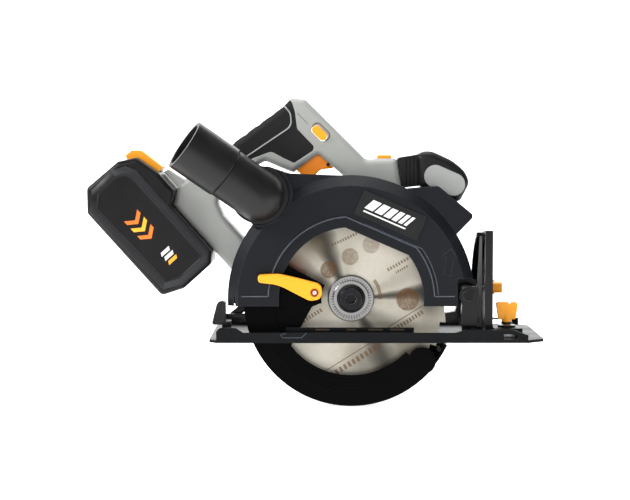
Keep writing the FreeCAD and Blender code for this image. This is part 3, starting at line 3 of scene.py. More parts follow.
import bpy
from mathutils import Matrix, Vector


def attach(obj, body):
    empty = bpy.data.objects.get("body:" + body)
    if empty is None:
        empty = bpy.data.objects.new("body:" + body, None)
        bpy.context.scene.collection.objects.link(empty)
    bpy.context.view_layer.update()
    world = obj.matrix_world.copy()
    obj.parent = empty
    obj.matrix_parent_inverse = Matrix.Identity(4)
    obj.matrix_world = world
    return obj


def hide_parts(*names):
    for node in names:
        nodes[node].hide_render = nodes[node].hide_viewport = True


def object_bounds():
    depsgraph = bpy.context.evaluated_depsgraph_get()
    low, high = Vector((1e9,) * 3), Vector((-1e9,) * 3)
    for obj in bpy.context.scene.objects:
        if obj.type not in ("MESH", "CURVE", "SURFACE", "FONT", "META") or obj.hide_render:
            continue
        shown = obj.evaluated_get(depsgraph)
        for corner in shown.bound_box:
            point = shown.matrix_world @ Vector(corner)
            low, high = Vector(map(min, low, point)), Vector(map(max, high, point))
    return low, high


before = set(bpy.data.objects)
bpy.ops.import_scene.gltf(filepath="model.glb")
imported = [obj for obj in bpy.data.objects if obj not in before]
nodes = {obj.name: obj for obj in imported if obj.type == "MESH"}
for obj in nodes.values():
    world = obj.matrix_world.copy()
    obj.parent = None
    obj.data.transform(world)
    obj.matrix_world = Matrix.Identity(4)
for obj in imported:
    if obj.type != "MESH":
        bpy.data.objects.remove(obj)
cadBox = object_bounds()
print("frame loaded with", len(nodes), "nodes")


# finishes
def paint(red, green, blue):
    # screen colour, 0 to 255, to the linear colour that a shader wants
    def linear(value):
        share = value / 255
        return share / 12.92 if share <= 0.04045 else ((share + 0.055) / 1.055) ** 2.4
    return (linear(red), linear(green), linear(blue), 1.0)


class Finish:
    # one material, with the small steps that its nodes are wired in

    def __init__(self, name, color, roughness, metallic=0.0, specular=0.5, coat=0.0):
        self.material = bpy.data.materials.new(name)
        self.material.use_nodes = True
        self.tree = self.material.node_tree
        self.shader = self.tree.nodes["Principled BSDF"]
        self.set(self.shader, "Base Color", color)
        self.set(self.shader, "Roughness", roughness)
        self.set(self.shader, "Metallic", metallic)
        self.set(self.shader, "Specular IOR Level", specular)
        self.set(self.shader, "Coat Weight", coat)
        self.where = self.tree.nodes.new("ShaderNodeTexCoord").outputs["Object"]
        self.normal = None

    def set(self, node, socket, value):
        node.inputs[socket].default_value = value

    def join(self, source, node, socket):
        self.tree.links.new(source, node.inputs[socket])

    def make(self, kind, **inputs):
        node = self.tree.nodes.new(kind)
        for socket, value in inputs.items():
            self.feed(node, socket.replace("_", " "), value)
        return node

    def feed(self, node, socket, value):
        if isinstance(value, bpy.types.NodeSocket):
            self.join(value, node, socket)
        else:
            self.set(node, socket, value)

    def noise(self, scale, detail=3.0, where=None):
        node = self.make("ShaderNodeTexNoise", Vector=where or self.where, Scale=scale,
                         Detail=detail, Roughness=0.55)
        return node.outputs["Fac"]

    def cells(self, scale):
        # 0 on the borders between irregular cells
        node = self.make("ShaderNodeTexVoronoi", Vector=self.where, Scale=scale)
        node.feature = "DISTANCE_TO_EDGE"
        return node.outputs["Distance"]

    def ramp(self, value, low, high, start=0.0, end=1.0):
        node = self.make("ShaderNodeMapRange", Value=value)
        self.set(node, "From Min", low)
        self.set(node, "From Max", high)
        self.set(node, "To Min", start)
        self.set(node, "To Max", end)
        node.clamp = True
        return node.outputs["Result"]

    def math(self, operation, first, second=0.0):
        node = self.tree.nodes.new("ShaderNodeMath")
        node.operation = operation
        for index, value in enumerate((first, second)):
            self.feed(node, index, value)
        return node.outputs[0]

    def times(self, first, second):
        return self.math("MULTIPLY", first, second)

    def reach(self, first, second):
        # the length of a step of first along one axis and second along the other
        return self.math("SQRT", self.math("ADD", self.times(first, first), self.times(second, second)))

    def between(self, value, low, high):
        return self.times(self.math("GREATER_THAN", value, low), self.math("LESS_THAN", value, high))

    def fromAxle(self, x, z):
        # how far along X and Z from an axle that lies along Y
        split = self.make("ShaderNodeSeparateXYZ", Vector=self.where)
        return self.math("SUBTRACT", split.outputs["X"], x), self.math("SUBTRACT", split.outputs["Z"], z)

    def along(self, axis):
        # how far along an axis from the origin
        dot = self.tree.nodes.new("ShaderNodeVectorMath")
        dot.operation = "DOT_PRODUCT"
        self.join(self.where, dot, 0)
        self.set(dot, 1, axis)
        return dot.outputs["Value"]

    def mix(self, share, first, second):
        node = self.tree.nodes.new("ShaderNodeMix")
        node.data_type = "RGBA"
        for index, value in ((0, share), (6, first), (7, second)):
            self.feed(node, index, value)
        return node.outputs[2]

    def tint(self, share, color):
        # lays another colour over what the base colour is now
        socket = self.shader.inputs["Base Color"]
        under = socket.links[0].from_socket if socket.is_linked else tuple(socket.default_value)
        self.join(self.mix(share, under, color), self.shader, "Base Color")

    def rub(self, share, low, high):
        self.join(self.ramp(share, 0.3, 0.7, low, high), self.shader, "Roughness")

    def bump(self, height, strength, depth):
        node = self.make("ShaderNodeBump", Height=height, Strength=strength, Distance=depth)
        if self.normal is not None:
            self.join(self.normal, node, "Normal")
        self.normal = node.outputs["Normal"]
        self.join(self.normal, self.shader, "Normal")

    def roundEdges(self, radius):
        node = self.make("ShaderNodeBevel", Radius=radius)
        node.samples = 4
        self.normal = node.outputs["Normal"]
        self.join(self.normal, self.shader, "Normal")

    def edges(self, radius):
        # 0 on flat ground, up to 1 along a sharp edge
        soft = self.make("ShaderNodeBevel", Radius=radius)
        soft.samples = 4
        true = self.tree.nodes.new("ShaderNodeNewGeometry")
        dot = self.tree.nodes.new("ShaderNodeVectorMath")
        dot.operation = "DOT_PRODUCT"
        self.join(soft.outputs["Normal"], dot, 0)
        self.join(true.outputs["True Normal"], dot, 1)
        return self.ramp(dot.outputs["Value"], 0.995, 0.80)


# what a moulded skin has where its own row below says nothing else
plainSkin = {
    "metallic": 0.0, "specular": 0.5, "coat": 0.0, "edge": 0.0006, "wearAndHighlight": 0.0,
    "drift": 18, "smudge": 45, "spread": 0.06, "strength": 0.35, "depth": 0.00008,
}


def moulded(name, ownLook):
    # a moulded or painted skin: slow colour drift, fine grain, and paler edges that stand for rubbed wear
    # and painted highlight
    look = {**plainSkin, **ownLook}
    made = Finish(name, look["color"], look["roughness"], look["metallic"], look["specular"], look["coat"])
    made.roundEdges(look["edge"])
    made.tint(made.ramp(made.noise(look["drift"]), 0.35, 0.7, 0.0, 0.6), look["second"])
    if look["wearAndHighlight"] > 0:
        # paler edges: rubbed wear, and painted highlight along every edge
        patchy = made.times(made.edges(look["edge"] * 1.3), made.ramp(made.noise(160), 0.35, 0.6, 0.35, 1.0))
        made.tint(made.times(patchy, look["wearAndHighlight"]), look["wearAndHighlightColor"])
    rough, spread = look["roughness"], look["spread"]
    made.rub(made.noise(look["smudge"]), rough - spread, rough + spread)
    made.bump(made.noise(look["grain"], 2.0), look["strength"], look["depth"])
    return made


looks = {
    "housingGrey": {"color": paint(158, 160, 156), "second": paint(150, 152, 148), "roughness": 0.42,
                    "grain": 2600, "wearAndHighlight": 0.35, "wearAndHighlightColor": paint(190, 192, 188), "edge": 0.0009},
    "blackPlastic": {"color": paint(17, 17, 18), "second": paint(12, 12, 13), "roughness": 0.4,
                     "grain": 2200, "wearAndHighlight": 0.25, "wearAndHighlightColor": paint(62, 63, 66), "edge": 0.0007,
                     "specular": 0.25},
    "portPlastic": {"color": paint(17, 17, 17), "second": paint(12, 12, 12), "roughness": 0.36,
                    "grain": 1500, "edge": 0.0006, "specular": 0.3, "depth": 0.00005},
    "batteryBlack": {"color": paint(15, 15, 17), "second": paint(10, 10, 12), "roughness": 0.34,
                     "grain": 2400, "wearAndHighlight": 0.3, "wearAndHighlightColor": paint(82, 84, 88), "edge": 0.0009,
                     "specular": 0.2},
    "navyMetal": {"color": paint(22, 24, 29), "second": paint(15, 17, 20), "roughness": 0.42,
                  "grain": 1700, "wearAndHighlight": 0.35, "wearAndHighlightColor": paint(104, 109, 118), "edge": 0.0008,
                  "specular": 0.14, "depth": 0.00007, "strength": 0.45},
    "baseNavy": {"color": paint(15, 17, 19), "second": paint(10, 11, 13), "roughness": 0.4,
                 "grain": 1500, "wearAndHighlight": 0.25, "wearAndHighlightColor": paint(70, 74, 80), "edge": 0.0006,
                 "specular": 0.1},
    # paler charcoal: painted highlight on the battery facets that face the light
    "litFacetGrey": {"color": paint(38, 39, 42), "second": paint(29, 30, 33), "roughness": 0.5,
                 "grain": 1200, "edge": 0.0004, "specular": 0.3, "strength": 0.5},
    "blackMetal": {"color": paint(14, 15, 17), "second": paint(10, 10, 11), "roughness": 0.36,
                   "grain": 1400, "wearAndHighlight": 0.35, "wearAndHighlightColor": paint(92, 94, 98), "edge": 0.0006,
                   "specular": 0.2, "coat": 0.15},
    "softGrip": {"color": paint(16, 16, 17), "second": paint(22, 22, 23), "roughness": 0.62,
                 "grain": 3200, "strength": 0.6, "edge": 0.001, "specular": 0.25},
    "orangePlastic": {"color": paint(255, 146, 2), "second": paint(255, 134, 1), "roughness": 0.36,
                      "grain": 1800, "wearAndHighlight": 0.2, "wearAndHighlightColor": paint(255, 176, 70), "edge": 0.0008},
    "yellowPlastic": {"color": paint(253, 168, 4), "second": paint(248, 154, 2), "roughness": 0.36,
                      "grain": 1800, "wearAndHighlight": 0.2, "wearAndHighlightColor": paint(255, 214, 90), "edge": 0.0007},
    "insetGrey": {"color": paint(158, 160, 158), "second": paint(150, 152, 150), "roughness": 0.4,
                  "grain": 2600, "edge": 0.0006},
    "pipingGrey": {"color": paint(158, 161, 158), "second": paint(146, 149, 146), "roughness": 0.4,
                   "grain": 2200, "edge": 0.0002},
    # darker grey: painted shade along a crease
    "creaseShadeGrey": {"color": paint(96, 98, 94), "second": paint(88, 90, 86), "roughness": 0.5,
                 "grain": 2200, "edge": 0.0002},
    "guardBlack": {"color": paint(6, 6, 6), "second": paint(4, 4, 4), "roughness": 0.42,
                   "grain": 1500, "wearAndHighlight": 0.1, "wearAndHighlightColor": paint(36, 36, 38), "edge": 0.0007,
                   "specular": 0.03},
    # painted shade for the gap round a button and for slots
    "gapShade": {"color": paint(58, 40, 22), "second": paint(30, 24, 18), "roughness": 0.6,
                 "grain": 2400, "edge": 0.0001, "strength": 0.1},
    "gussetGrey": {"color": paint(128, 128, 126), "second": paint(104, 104, 102), "roughness": 0.4,
                   "grain": 1400, "edge": 0.0003, "strength": 0.3},
    # paler navy: painted highlight along fine raised lines
    "navyHighlight": {"color": paint(86, 92, 102), "second": paint(70, 76, 86), "roughness": 0.4,
                 "grain": 1700, "edge": 0.0002, "strength": 0.2},
    "printWhite": {"color": paint(236, 236, 234), "second": paint(224, 224, 222), "roughness": 0.4,
                   "grain": 2800, "edge": 0.0001, "strength": 0.1},
    "printOrange": {"color": paint(240, 116, 12), "second": paint(226, 98, 6), "roughness": 0.4,
                    "grain": 2800, "edge": 0.0001, "strength": 0.1},
    "printAmber": {"color": paint(252, 172, 30), "second": paint(244, 152, 16), "roughness": 0.4,
                   "grain": 2800, "edge": 0.0001, "strength": 0.1},
    "labelBlack": {"color": paint(18, 19, 19), "second": paint(24, 25, 25), "roughness": 0.3,
                   "grain": 2600, "edge": 0.0003, "specular": 0.3, "strength": 0.15},
    "rubberBlack": {"color": paint(15, 15, 15), "second": paint(20, 20, 20), "roughness": 0.75,
                    "grain": 2400, "strength": 0.6, "edge": 0.0006, "specular": 0.3},
    "blackSteel": {"color": paint(34, 34, 36), "second": paint(22, 22, 24), "roughness": 0.34,
                   "metallic": 0.85, "grain": 1600, "wearAndHighlight": 0.5, "wearAndHighlightColor": paint(150, 150, 152),
                   "edge": 0.0005},
    "brightSteel": {"color": paint(196, 197, 200), "second": paint(172, 173, 177), "roughness": 0.26,
                    "metallic": 1.0, "grain": 1300, "edge": 0.0004, "strength": 0.15},
    "brass": {"color": paint(214, 172, 92), "second": paint(190, 146, 72), "roughness": 0.3,
              "metallic": 1.0, "grain": 1200, "edge": 0.0003, "strength": 0.15},
}
made = {name: moulded(name, look) for name, look in looks.items()}
print("plain finishes made")

# the moulded ring round the dust port, given from the middle of its bore; its groove is darkened with
# painted shade
portRing = {"middle": (-0.116605, -0.05054, 0.150352), "axis": (-0.804102, -0.190809, 0.563038),
            "along": -0.016, "half": 0.0009, "color": paint(3, 3, 3)}


def ringPort(port, ring):
    level = sum(m * a for m, a in zip(ring["middle"], ring["axis"])) + ring["along"]
    away = port.math("ABSOLUTE", port.math("SUBTRACT", port.along(ring["axis"]), level))
    grooveShade = port.ramp(away, ring["half"], ring["half"] * 0.3)
    # painted shade darkens the groove
    port.tint(port.times(grooveShade, 0.9), ring["color"])
    port.bump(port.ramp(away, 0.0, ring["half"]), 0.9, 0.0006)


ringPort(made["portPlastic"], portRing)

# painted light: the trigger's orange plastic is given a faint glow of its own
triggerPaintedGlow = {"color": paint(255, 140, 2), "strength": 0.22}
glowingOrange = made["orangePlastic"]
glowingOrange.set(glowingOrange.shader, "Emission Color", triggerPaintedGlow["color"])
glowingOrange.set(glowingOrange.shader, "Emission Strength", triggerPaintedGlow["strength"])


def bladeSteel(look):
    # brushed round the bore, with broad bands of painted bright and dark reflection, painted reflection and
    # shade patches, and a printed pattern
    made = Finish("bladeSteel", look["color"], look["roughness"], metallic=look["metallic"])
    across, up = made.fromAxle(0, look["axle"])
    radius = made.reach(across, up)
    angle = made.math("ARCTAN2", up, across)
    drift = made.times(made.math("SUBTRACT", made.noise(26, 2.0), 0.5), look["drift"])
    swayed = made.math("ADD", angle, drift)

    def reflectionBand(turn, wide):
        # 1 along a ray at that angle, falling away on both sides
        near = made.math("COSINE", made.math("SUBTRACT", swayed, math.radians(turn)))
        return made.ramp(near, math.cos(math.radians(wide)), 1.0)

    def step(x, z):
        return made.math("SUBTRACT", across, x), made.math("SUBTRACT", up, z)

    made.tint(made.ramp(made.noise(34), 0.35, 0.7, 0.0, 0.45), look["warm"])
    # painted highlights along bright bands, then painted dark reflections along dark bands
    for turn, wide, strength in look["lights"]:
        made.tint(made.times(reflectionBand(turn, wide), strength), look["reflectionBright"])
    for turn, wide, strength in look["darkReflections"]:
        made.tint(made.times(reflectionBand(turn, wide), strength), look["dark"])
    # painted reflection and shade patches, warm and dark
    for x, z, size, strength, color in look["shadeAndReflectionPatches"]:
        far = made.reach(*step(x, z))
        made.tint(made.times(made.ramp(far, size, size * 0.2), strength), color)
    ring = made.make("ShaderNodeCombineXYZ", X=made.times(radius, look["brush"]), Y=made.times(angle, 6.0))
    brushed = made.noise(1.0, 2.0, ring.outputs["Vector"])
    made.tint(made.ramp(brushed, 0.35, 0.65, 0.0, 0.22), look["dark"])
    for x, z, size, strength in look["discs"]:
        inside = made.ramp(made.reach(*step(x, z)), size, size - 0.0004)
        speck = made.ramp(made.noise(420), 0.3, 0.75, 0.55, 1.0)
        made.tint(made.times(made.times(inside, strength), speck), look["print"])
    for x, z, turn, half, thick, dashes in look["bars"]:
        # a straight printed bar, broken into dashes where it stands for a line of print
        cosine, sine = math.cos(math.radians(turn)), math.sin(math.radians(turn))
        dx, dz = step(x, z)
        along = made.math("ADD", made.times(dx, cosine), made.times(dz, sine))
        off = made.math("SUBTRACT", made.times(dz, cosine), made.times(dx, sine))
        inside = made.times(made.math("LESS_THAN", made.math("ABSOLUTE", along), half),
                            made.math("LESS_THAN", made.math("ABSOLUTE", off), thick))
        if dashes:
            wave = made.math("SINE", made.times(along, dashes))
            inside = made.times(inside, made.math("GREATER_THAN", wave, -0.25))
        made.tint(made.times(inside, 0.72), look["print"])
    for inner, outer, start, end in look["arcs"]:
        inside = made.times(made.between(radius, inner, outer),
                            made.between(angle, math.radians(start), math.radians(end)))
        made.tint(made.times(inside, 0.6), look["print"])
    made.rub(brushed, look["roughness"] - 0.06, look["roughness"] + 0.1)
    made.bump(brushed, 0.12, 0.00004)
    return made


blade = {
    "axle": 0.0345, "color": paint(186, 181, 168), "warm": paint(168, 159, 136),
    "dark": paint(34, 32, 28), "reflectionBright": paint(220, 215, 203), "print": paint(90, 56, 10),
    "roughness": 0.36, "metallic": 0.55, "drift": 0.28, "brush": 9000.0,
    # turn from the front, half width in degrees and strength of the soft bands of painted dark and bright
    # reflection
    "darkReflections": [(117, 14, 0.92), (4, 7, 0.9), (158, 20, 0.6), (-62, 13, 0.85), (-42, 24, 0.4),
              (22, 8, 0.15)],
    "lights": [(60, 34, 0.6), (138, 12, 0.4), (-20, 12, 0.2), (-118, 30, 0.5)],
    # place from the bore, reach, strength and colour of the warm and dark patches of painted reflection and
    # shade
    "shadeAndReflectionPatches": [(-0.052, 0.022, 0.022, 0.85, paint(104, 44, 14)),
              (-0.034, 0.044, 0.020, 0.6, paint(84, 66, 34)),
              (-0.024, 0.014, 0.010, 0.6, paint(60, 50, 30)),
              (0.012, -0.052, 0.022, 0.5, paint(52, 50, 44)),
              (0.066, -0.004, 0.018, 0.7, paint(46, 44, 36)),
              (0.060, -0.046, 0.030, 0.5, paint(92, 84, 62))],
    # place from the bore, radius and strength of the printed discs
    "discs": [(-0.0008, 0.0350, 0.0074, 0.62), (-0.0186, 0.0240, 0.0074, 0.85),
              (0.0168, 0.0450, 0.0074, 0.5), (0.0478, -0.0010, 0.0098, 0.9),
              (-0.0420, 0.0200, 0.0050, 0.5)],
    # place, turn, half length, half thickness and dash frequency of the printed bars
    "bars": [(0.0400, 0.0290, 30, 0.011, 0.0014, 2400), (0.0430, 0.0245, 30, 0.006, 0.0010, 3000),
             (-0.0330, -0.0150, 32, 0.010, 0.0017, 2300), (0.0450, -0.0160, 32, 0.020, 0.0004, 0),
             (0.0470, -0.0200, 32, 0.016, 0.0018, 2200), (0.0020, -0.0470, 32, 0.030, 0.0004, 0),
             (0.0050, -0.0520, 32, 0.024, 0.0023, 1500), (-0.0050, 0.0500, 25, 0.012, 0.0012, 2600)],
    # inner and outer radius, start and end angle of the printed arcs
    "arcs": [(0.0232, 0.0262, -2, 38)],
}
made["bladeSteel"] = bladeSteel(blade)


def screwHead(look):
    # a light domed head in a red-brown ring
    made = Finish("leverScrewSteel", look["ring"], look["roughness"], metallic=0.5)
    far = made.reach(*made.fromAxle(look["x"], look["z"]))
    made.tint(made.ramp(made.noise(900), 0.4, 0.7, 0.0, 0.4), look["patchy"])
    made.tint(made.ramp(far, look["head"] + 0.0003, look["head"]), look["light"])
    made.tint(made.ramp(far, look["head"] * 0.45, look["head"] * 0.3, 0.0, 0.7), look["ring"])
    made.bump(made.noise(1600), 0.2, 0.00003)
    return made


leverScrew = {"x": -0.0307, "z": 0.0410, "head": 0.0015, "roughness": 0.34,
              "ring": paint(150, 48, 22), "patchy": paint(104, 30, 14), "light": paint(232, 216, 206)}
made["leverScrewSteel"] = screwHead(leverScrew)


def ringSteel(look):
    # turned steel: fine rings round the axle, and a dial of plain ticks
    made = Finish("flangeSteel", look["color"], look["roughness"], metallic=0.9)
    made.roundEdges(0.0004)
    across, up = made.fromAxle(0, look["axle"])
    radius = made.reach(across, up)
    angle = made.math("ARCTAN2", up, across)
    rings = made.math("SINE", made.times(radius, look["rings"]))
    made.tint(made.ramp(rings, -1, 1, 0.0, 0.25), look["dark"])
    wave = made.math("SINE", made.times(angle, look["ticks"]))
    inside = made.times(made.between(radius, look["tickFrom"], look["tickTo"]),
                        made.math("GREATER_THAN", wave, 0.35))
    made.tint(made.times(inside, 0.55), look["dark"])
    made.rub(made.noise(300), look["roughness"] - 0.06, look["roughness"] + 0.08)
    made.bump(rings, 0.1, 0.00003)
    return made


flange = {
    "axle": 0.0345, "color": paint(158, 157, 156), "dark": paint(52, 52, 53), "roughness": 0.34,
    "rings": 9000, "tickFrom": 0.0142, "tickTo": 0.0172, "ticks": 44,
}
made["flangeSteel"] = ringSteel(flange)


def layered(name, look):
    # stacked sheets: thin lines across the machine
    made = Finish(name, look["color"], look["roughness"], metallic=look["metallic"])
    split = made.make("ShaderNodeSeparateXYZ", Vector=made.where)
    wave = made.math("SINE", made.times(split.outputs["Y"], look["sheets"]))
    made.tint(made.ramp(wave, -1, 1, 0.0, 0.6), look["second"])
    made.tint(made.ramp(made.noise(60), 0.4, 0.7, 0.0, 0.4), look["stain"])
    made.bump(wave, 0.3, 0.00008)
    return made


made["coreSteel"] = layered("coreSteel", {
    "color": paint(120, 122, 126), "second": paint(84, 86, 90), "stain": paint(96, 78, 58),
    "roughness": 0.45, "metallic": 0.8, "sheets": 9000})
made["cellWrap"] = layered("cellWrap", {
    "color": paint(60, 110, 150), "second": paint(50, 96, 134), "stain": paint(70, 118, 152),
    "roughness": 0.35, "metallic": 0.0, "sheets": 400})


def circuitBoard(look):
    # green lacquer over copper runs
    made = Finish("boardGreen", look["color"], 0.35, specular=0.6)
    cells = made.cells(look["scale"])
    made.tint(made.ramp(cells, 0.10, 0.07, 0.0, 0.7), look["run"])
    made.tint(made.ramp(made.noise(90), 0.45, 0.7, 0.0, 0.4), look["second"])
    made.bump(made.ramp(cells, 0.12, 0.05), 0.3, 0.0001)
    return made


made["boardGreen"] = circuitBoard({"color": paint(22, 84, 46), "run": paint(60, 128, 66),
                                   "second": paint(18, 70, 40), "scale": 260})
print("special finishes made")

wears = {
    "blackPlastic": ["motor_cap", "front_handle", "trigger_switch", "terminal_block", "cooling_fan",
                     "gearbox_case", "gearbox_cover"],
    "portPlastic": ["dust_port"],
    "guardBlack": ["lower_guard"],
    "batteryBlack": ["battery_shell_near", "battery_shell_far", "battery_panel"],
    "housingGrey": ["housing_near", "housing_far"],
    "insetGrey": ["handle_inset"],
    "softGrip": ["grip_overmould"],
    "orangePlastic": ["trigger"],
    "yellowPlastic": ["lock_off_button", "spindle_lock_button", "battery_latch", "retract_lever",
                      "fence_screw", "bevel_knob"],
    "navyMetal": ["upper_guard"],
    "baseNavy": ["base_plate"],
    "blackMetal": ["front_lug", "rear_lug", "pivot_casting", "rear_bracket", "depth_lever",
                   "bevel_quadrant"],
    "labelBlack": ["name_plate"],
    "rubberBlack": ["guard_bumper"],
    "blackSteel": ["blade_bolt", "housing_screws", "guard_screws", "bevel_pins", "depth_bolt",
                   "spindle_gear", "pinion", "fence_washer", "pivot_pin", "trigger_pin"],
    "brightSteel": ["spindle", "motor_shaft", "inner_flange", "depth_washer", "bevel_stud",
                    "guard_spring", "spindle_bearings", "motor_bearings"],
    "leverScrewSteel": ["lever_screw"],
    "bladeSteel": ["saw_blade"],
    "flangeSteel": ["outer_flange"],
    "coreSteel": ["rotor_core", "stator_core"],
    "cellWrap": ["battery_cells"],
    "boardGreen": ["control_board"],
    "brass": ["battery_contacts"],
}
for finishName, nodeNames in wears.items():
    for nodeName in nodeNames:
        data = nodes[nodeName].data
        data.materials.clear()
        data.materials.append(made[finishName].material)
        for face in data.polygons:
            face.material_index = 0
print("nodes without a finish:", sorted(set(nodes) - {n for row in wears.values() for n in row}))


# tools for the added pieces
def deselect():
    if bpy.context.object and bpy.context.object.mode != "OBJECT":
        bpy.ops.object.mode_set(mode="OBJECT")
    bpy.ops.object.select_all(action="DESELECT")


def settle(piece, finish, body):
    # smooth faces, its place in its mesh, its finish and its body
    deselect()
    piece.select_set(True)
    bpy.context.view_layer.objects.active = piece
    bpy.ops.object.transform_apply(location=True, rotation=True, scale=True)
    bpy.ops.object.mode_set(mode="EDIT")
    bpy.ops.mesh.select_all(action="SELECT")
    bpy.ops.mesh.normals_make_consistent(inside=False)
    bpy.ops.object.mode_set(mode="OBJECT")
    bpy.ops.object.shade_smooth_by_angle(angle=math.radians(35))
    piece.data.materials.clear()
    piece.data.materials.append(made[finish].material)
    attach(piece, body)
    return piece


def plate(name, corners, near, far):
    # a flat plate in the XZ plane with those corners, from near to far along Y
    deselect()
    bpy.ops.mesh.primitive_circle_add(vertices=len(corners), radius=0.01, fill_type="NGON")
    piece = bpy.context.object
    piece.name = name
    for index, (x, z) in enumerate(corners):
        piece.data.vertices[index].co = (x, near, z)
    bpy.ops.object.mode_set(mode="EDIT")
    bpy.ops.mesh.select_all(action="SELECT")
    bpy.ops.mesh.extrude_region_move(TRANSFORM_OT_translate={"value": (0, far - near, 0)})
    bpy.ops.object.mode_set(mode="OBJECT")
    return piece


def soften(piece, width, segments=2):
    mod = piece.modifiers.new("roundedEdges", "BEVEL")
    mod.width = width
    mod.segments = segments
    mod.limit_method = "ANGLE"
    mod.angle_limit = math.radians(30)
    deselect()
    bpy.context.view_layer.objects.active = piece
    piece.select_set(True)
    bpy.ops.object.modifier_apply(modifier=mod.name)
    return piece


def insetNear(piece, width, lift):
    # insets the plate's near face and moves it along Y
    deselect()
    bpy.context.view_layer.objects.active = piece
    piece.select_set(True)
    nearest = min(face.center.y for face in piece.data.polygons if abs(face.normal.y) > 0.9)
    for face in piece.data.polygons:
        face.select = abs(face.normal.y) > 0.9 and abs(face.center.y - nearest) < 0.00002
    bpy.ops.object.mode_set(mode="EDIT")
    bpy.ops.mesh.select_mode(type="FACE")
    bpy.ops.mesh.inset(thickness=width, depth=0)
    bpy.ops.transform.translate(value=(0, lift, 0))
    bpy.ops.object.mode_set(mode="OBJECT")


def lying(path, nodeName, sunk):
    # drops a path's points along +Y on to a node's skin, sunk by a little
    target = nodes[nodeName]
    points = []
    for x, z in path:
        hit, spot, _, _ = target.ray_cast(Vector((x, -0.3, z)), Vector((0, 1, 0)))
        if hit:
            points.append((x, spot.y + sunk, z))
    return points


def divided(corners, step=0.0015, closed=False):
    # more points along straight runs, so that a bead follows the skin under it
    path = []
    ends = corners[1:] + ([corners[0]] if closed else [])
    for (x0, z0), (x1, z1) in zip(corners, ends):
        count = max(1, int(math.hypot(x1 - x0, z1 - z0) / step))
        path += [(x0 + (x1 - x0) * i / count, z0 + (z1 - z0) * i / count) for i in range(count)]
    return path + ([] if closed else [corners[-1]])


def roundPath(corners, radius):
    # an open path with its corners rounded
    path = []
    last = len(corners) - 1
    for index, (x, z) in enumerate(corners):
        if index in (0, last):
            path.append((x, z))
            continue
        here = Vector((x, z))
        back = Vector(corners[index - 1]) - here
        ahead = Vector(corners[index + 1]) - here
        cut = min(radius, back.length / 2.2, ahead.length / 2.2)
        start = here + back.normalized() * cut
        end = here + ahead.normalized() * cut
        for step in range(6):
            share = step / 5
            spot = start.lerp(here, share).lerp(here.lerp(end, share), share)
            path.append((spot.x, spot.y))
    return path


def arcPath(x, z, radius, start, end, count=48):
    turns = [math.radians(start + (end - start) * i / count) for i in range(count + 1)]
    return [(x + radius * math.cos(t), z + radius * math.sin(t)) for t in turns]


def bead(name, points, radius, finish, body, closed=False):
    # a fine round bead along the points, made a mesh
    curve = bpy.data.curves.new(name, "CURVE")
    curve.dimensions = "3D"
    spline = curve.splines.new("POLY")
    spline.points.add(len(points) - 1)
    for point, spot in zip(spline.points, points):
        point.co = (*spot, 1)
    spline.use_cyclic_u = closed
    curve.bevel_depth = radius
    curve.bevel_resolution = 2
    curve.use_fill_caps = True
    piece = bpy.data.objects.new(name, curve)
    bpy.context.scene.collection.objects.link(piece)
    deselect()
    piece.select_set(True)
    bpy.context.view_layer.objects.active = piece
    bpy.ops.object.convert(target="MESH")
    return settle(bpy.context.object, finish, body)


def mm(*corners):
    return [(x / 1000, z / 1000) for x, z in corners]


def placed(corners, middle, turn):
    # corners turned by some degrees and moved to their middle
    cosine, sine = math.cos(math.radians(turn)), math.sin(math.radians(turn))
    return [(middle[0] + x * cosine - z * sine, middle[1] + x * sine + z * cosine) for x, z in corners]


def joined(name, parts, finish, body):
    deselect()
    for part in parts:
        part.select_set(True)
    bpy.context.view_layer.objects.active = parts[0]
    bpy.ops.object.join()
    piece = bpy.context.object
    piece.name = name
    return settle(piece, finish, body)


# guard
guardLines = {
    "face": -0.0180, "fine": 0.00032, "axleZ": 0.0345, "windowLine": 0.0694,
    # the window's straight side: its slope and how far it passes from the axle
    "slope": 23.5, "chord": 0.0616,
    "gap": 0.0032, "run": 0.052,
    "feet": {"rear": (-0.0915, -0.0700), "front": (0.0700, 0.0860)}, "footLift": 0.0028,
}


def guardTrim():
    # the raised line round the window, a second one in front and one along each foot, all in a paler navy
    # that paints their highlight
    face, fine = guardLines["face"], guardLines["fine"]
    axle, reach = guardLines["axleZ"], guardLines["windowLine"]
    slope = math.radians(guardLines["slope"])
    chordTurn = 90 - guardLines["slope"]
    opening = math.degrees(math.acos(guardLines["chord"] / reach))
    left = arcPath(0, axle, reach, 178, chordTurn + opening, 60)
    right = arcPath(0, axle, reach, chordTurn - opening, 2.4, 40)
    bead("windowBead", [(x, face, z) for x, z in left + right], fine, "navyHighlight", "saw")
    second = arcPath(0, axle, reach + guardLines["gap"], chordTurn - opening - 3, 3.0, 40)
    direction = Vector((math.cos(slope), -math.sin(slope)))
    start = Vector(second[0])
    chordRun = [tuple(start - direction * guardLines["run"]), tuple(start)]
    line = roundPath(divided(chordRun, 0.004) + second[1:], 0.002)
    points = lying(line, "upper_guard", -0.00005)
    bead("secondBead", points, fine * 0.8, "navyHighlight", "saw")
    z = axle + guardLines["footLift"]
    for side, ends in guardLines["feet"].items():
        bead(side + "FootBead", [(x, face, z) for x in ends], fine * 1.2, "navyHighlight", "saw")


arrow = {"middle": (0.0815, 0.0660), "turn": -6, "half": 0.0068, "stem": 0.0030, "tall": 0.0225,
         "head": 0.0075, "bead": 0.00042}


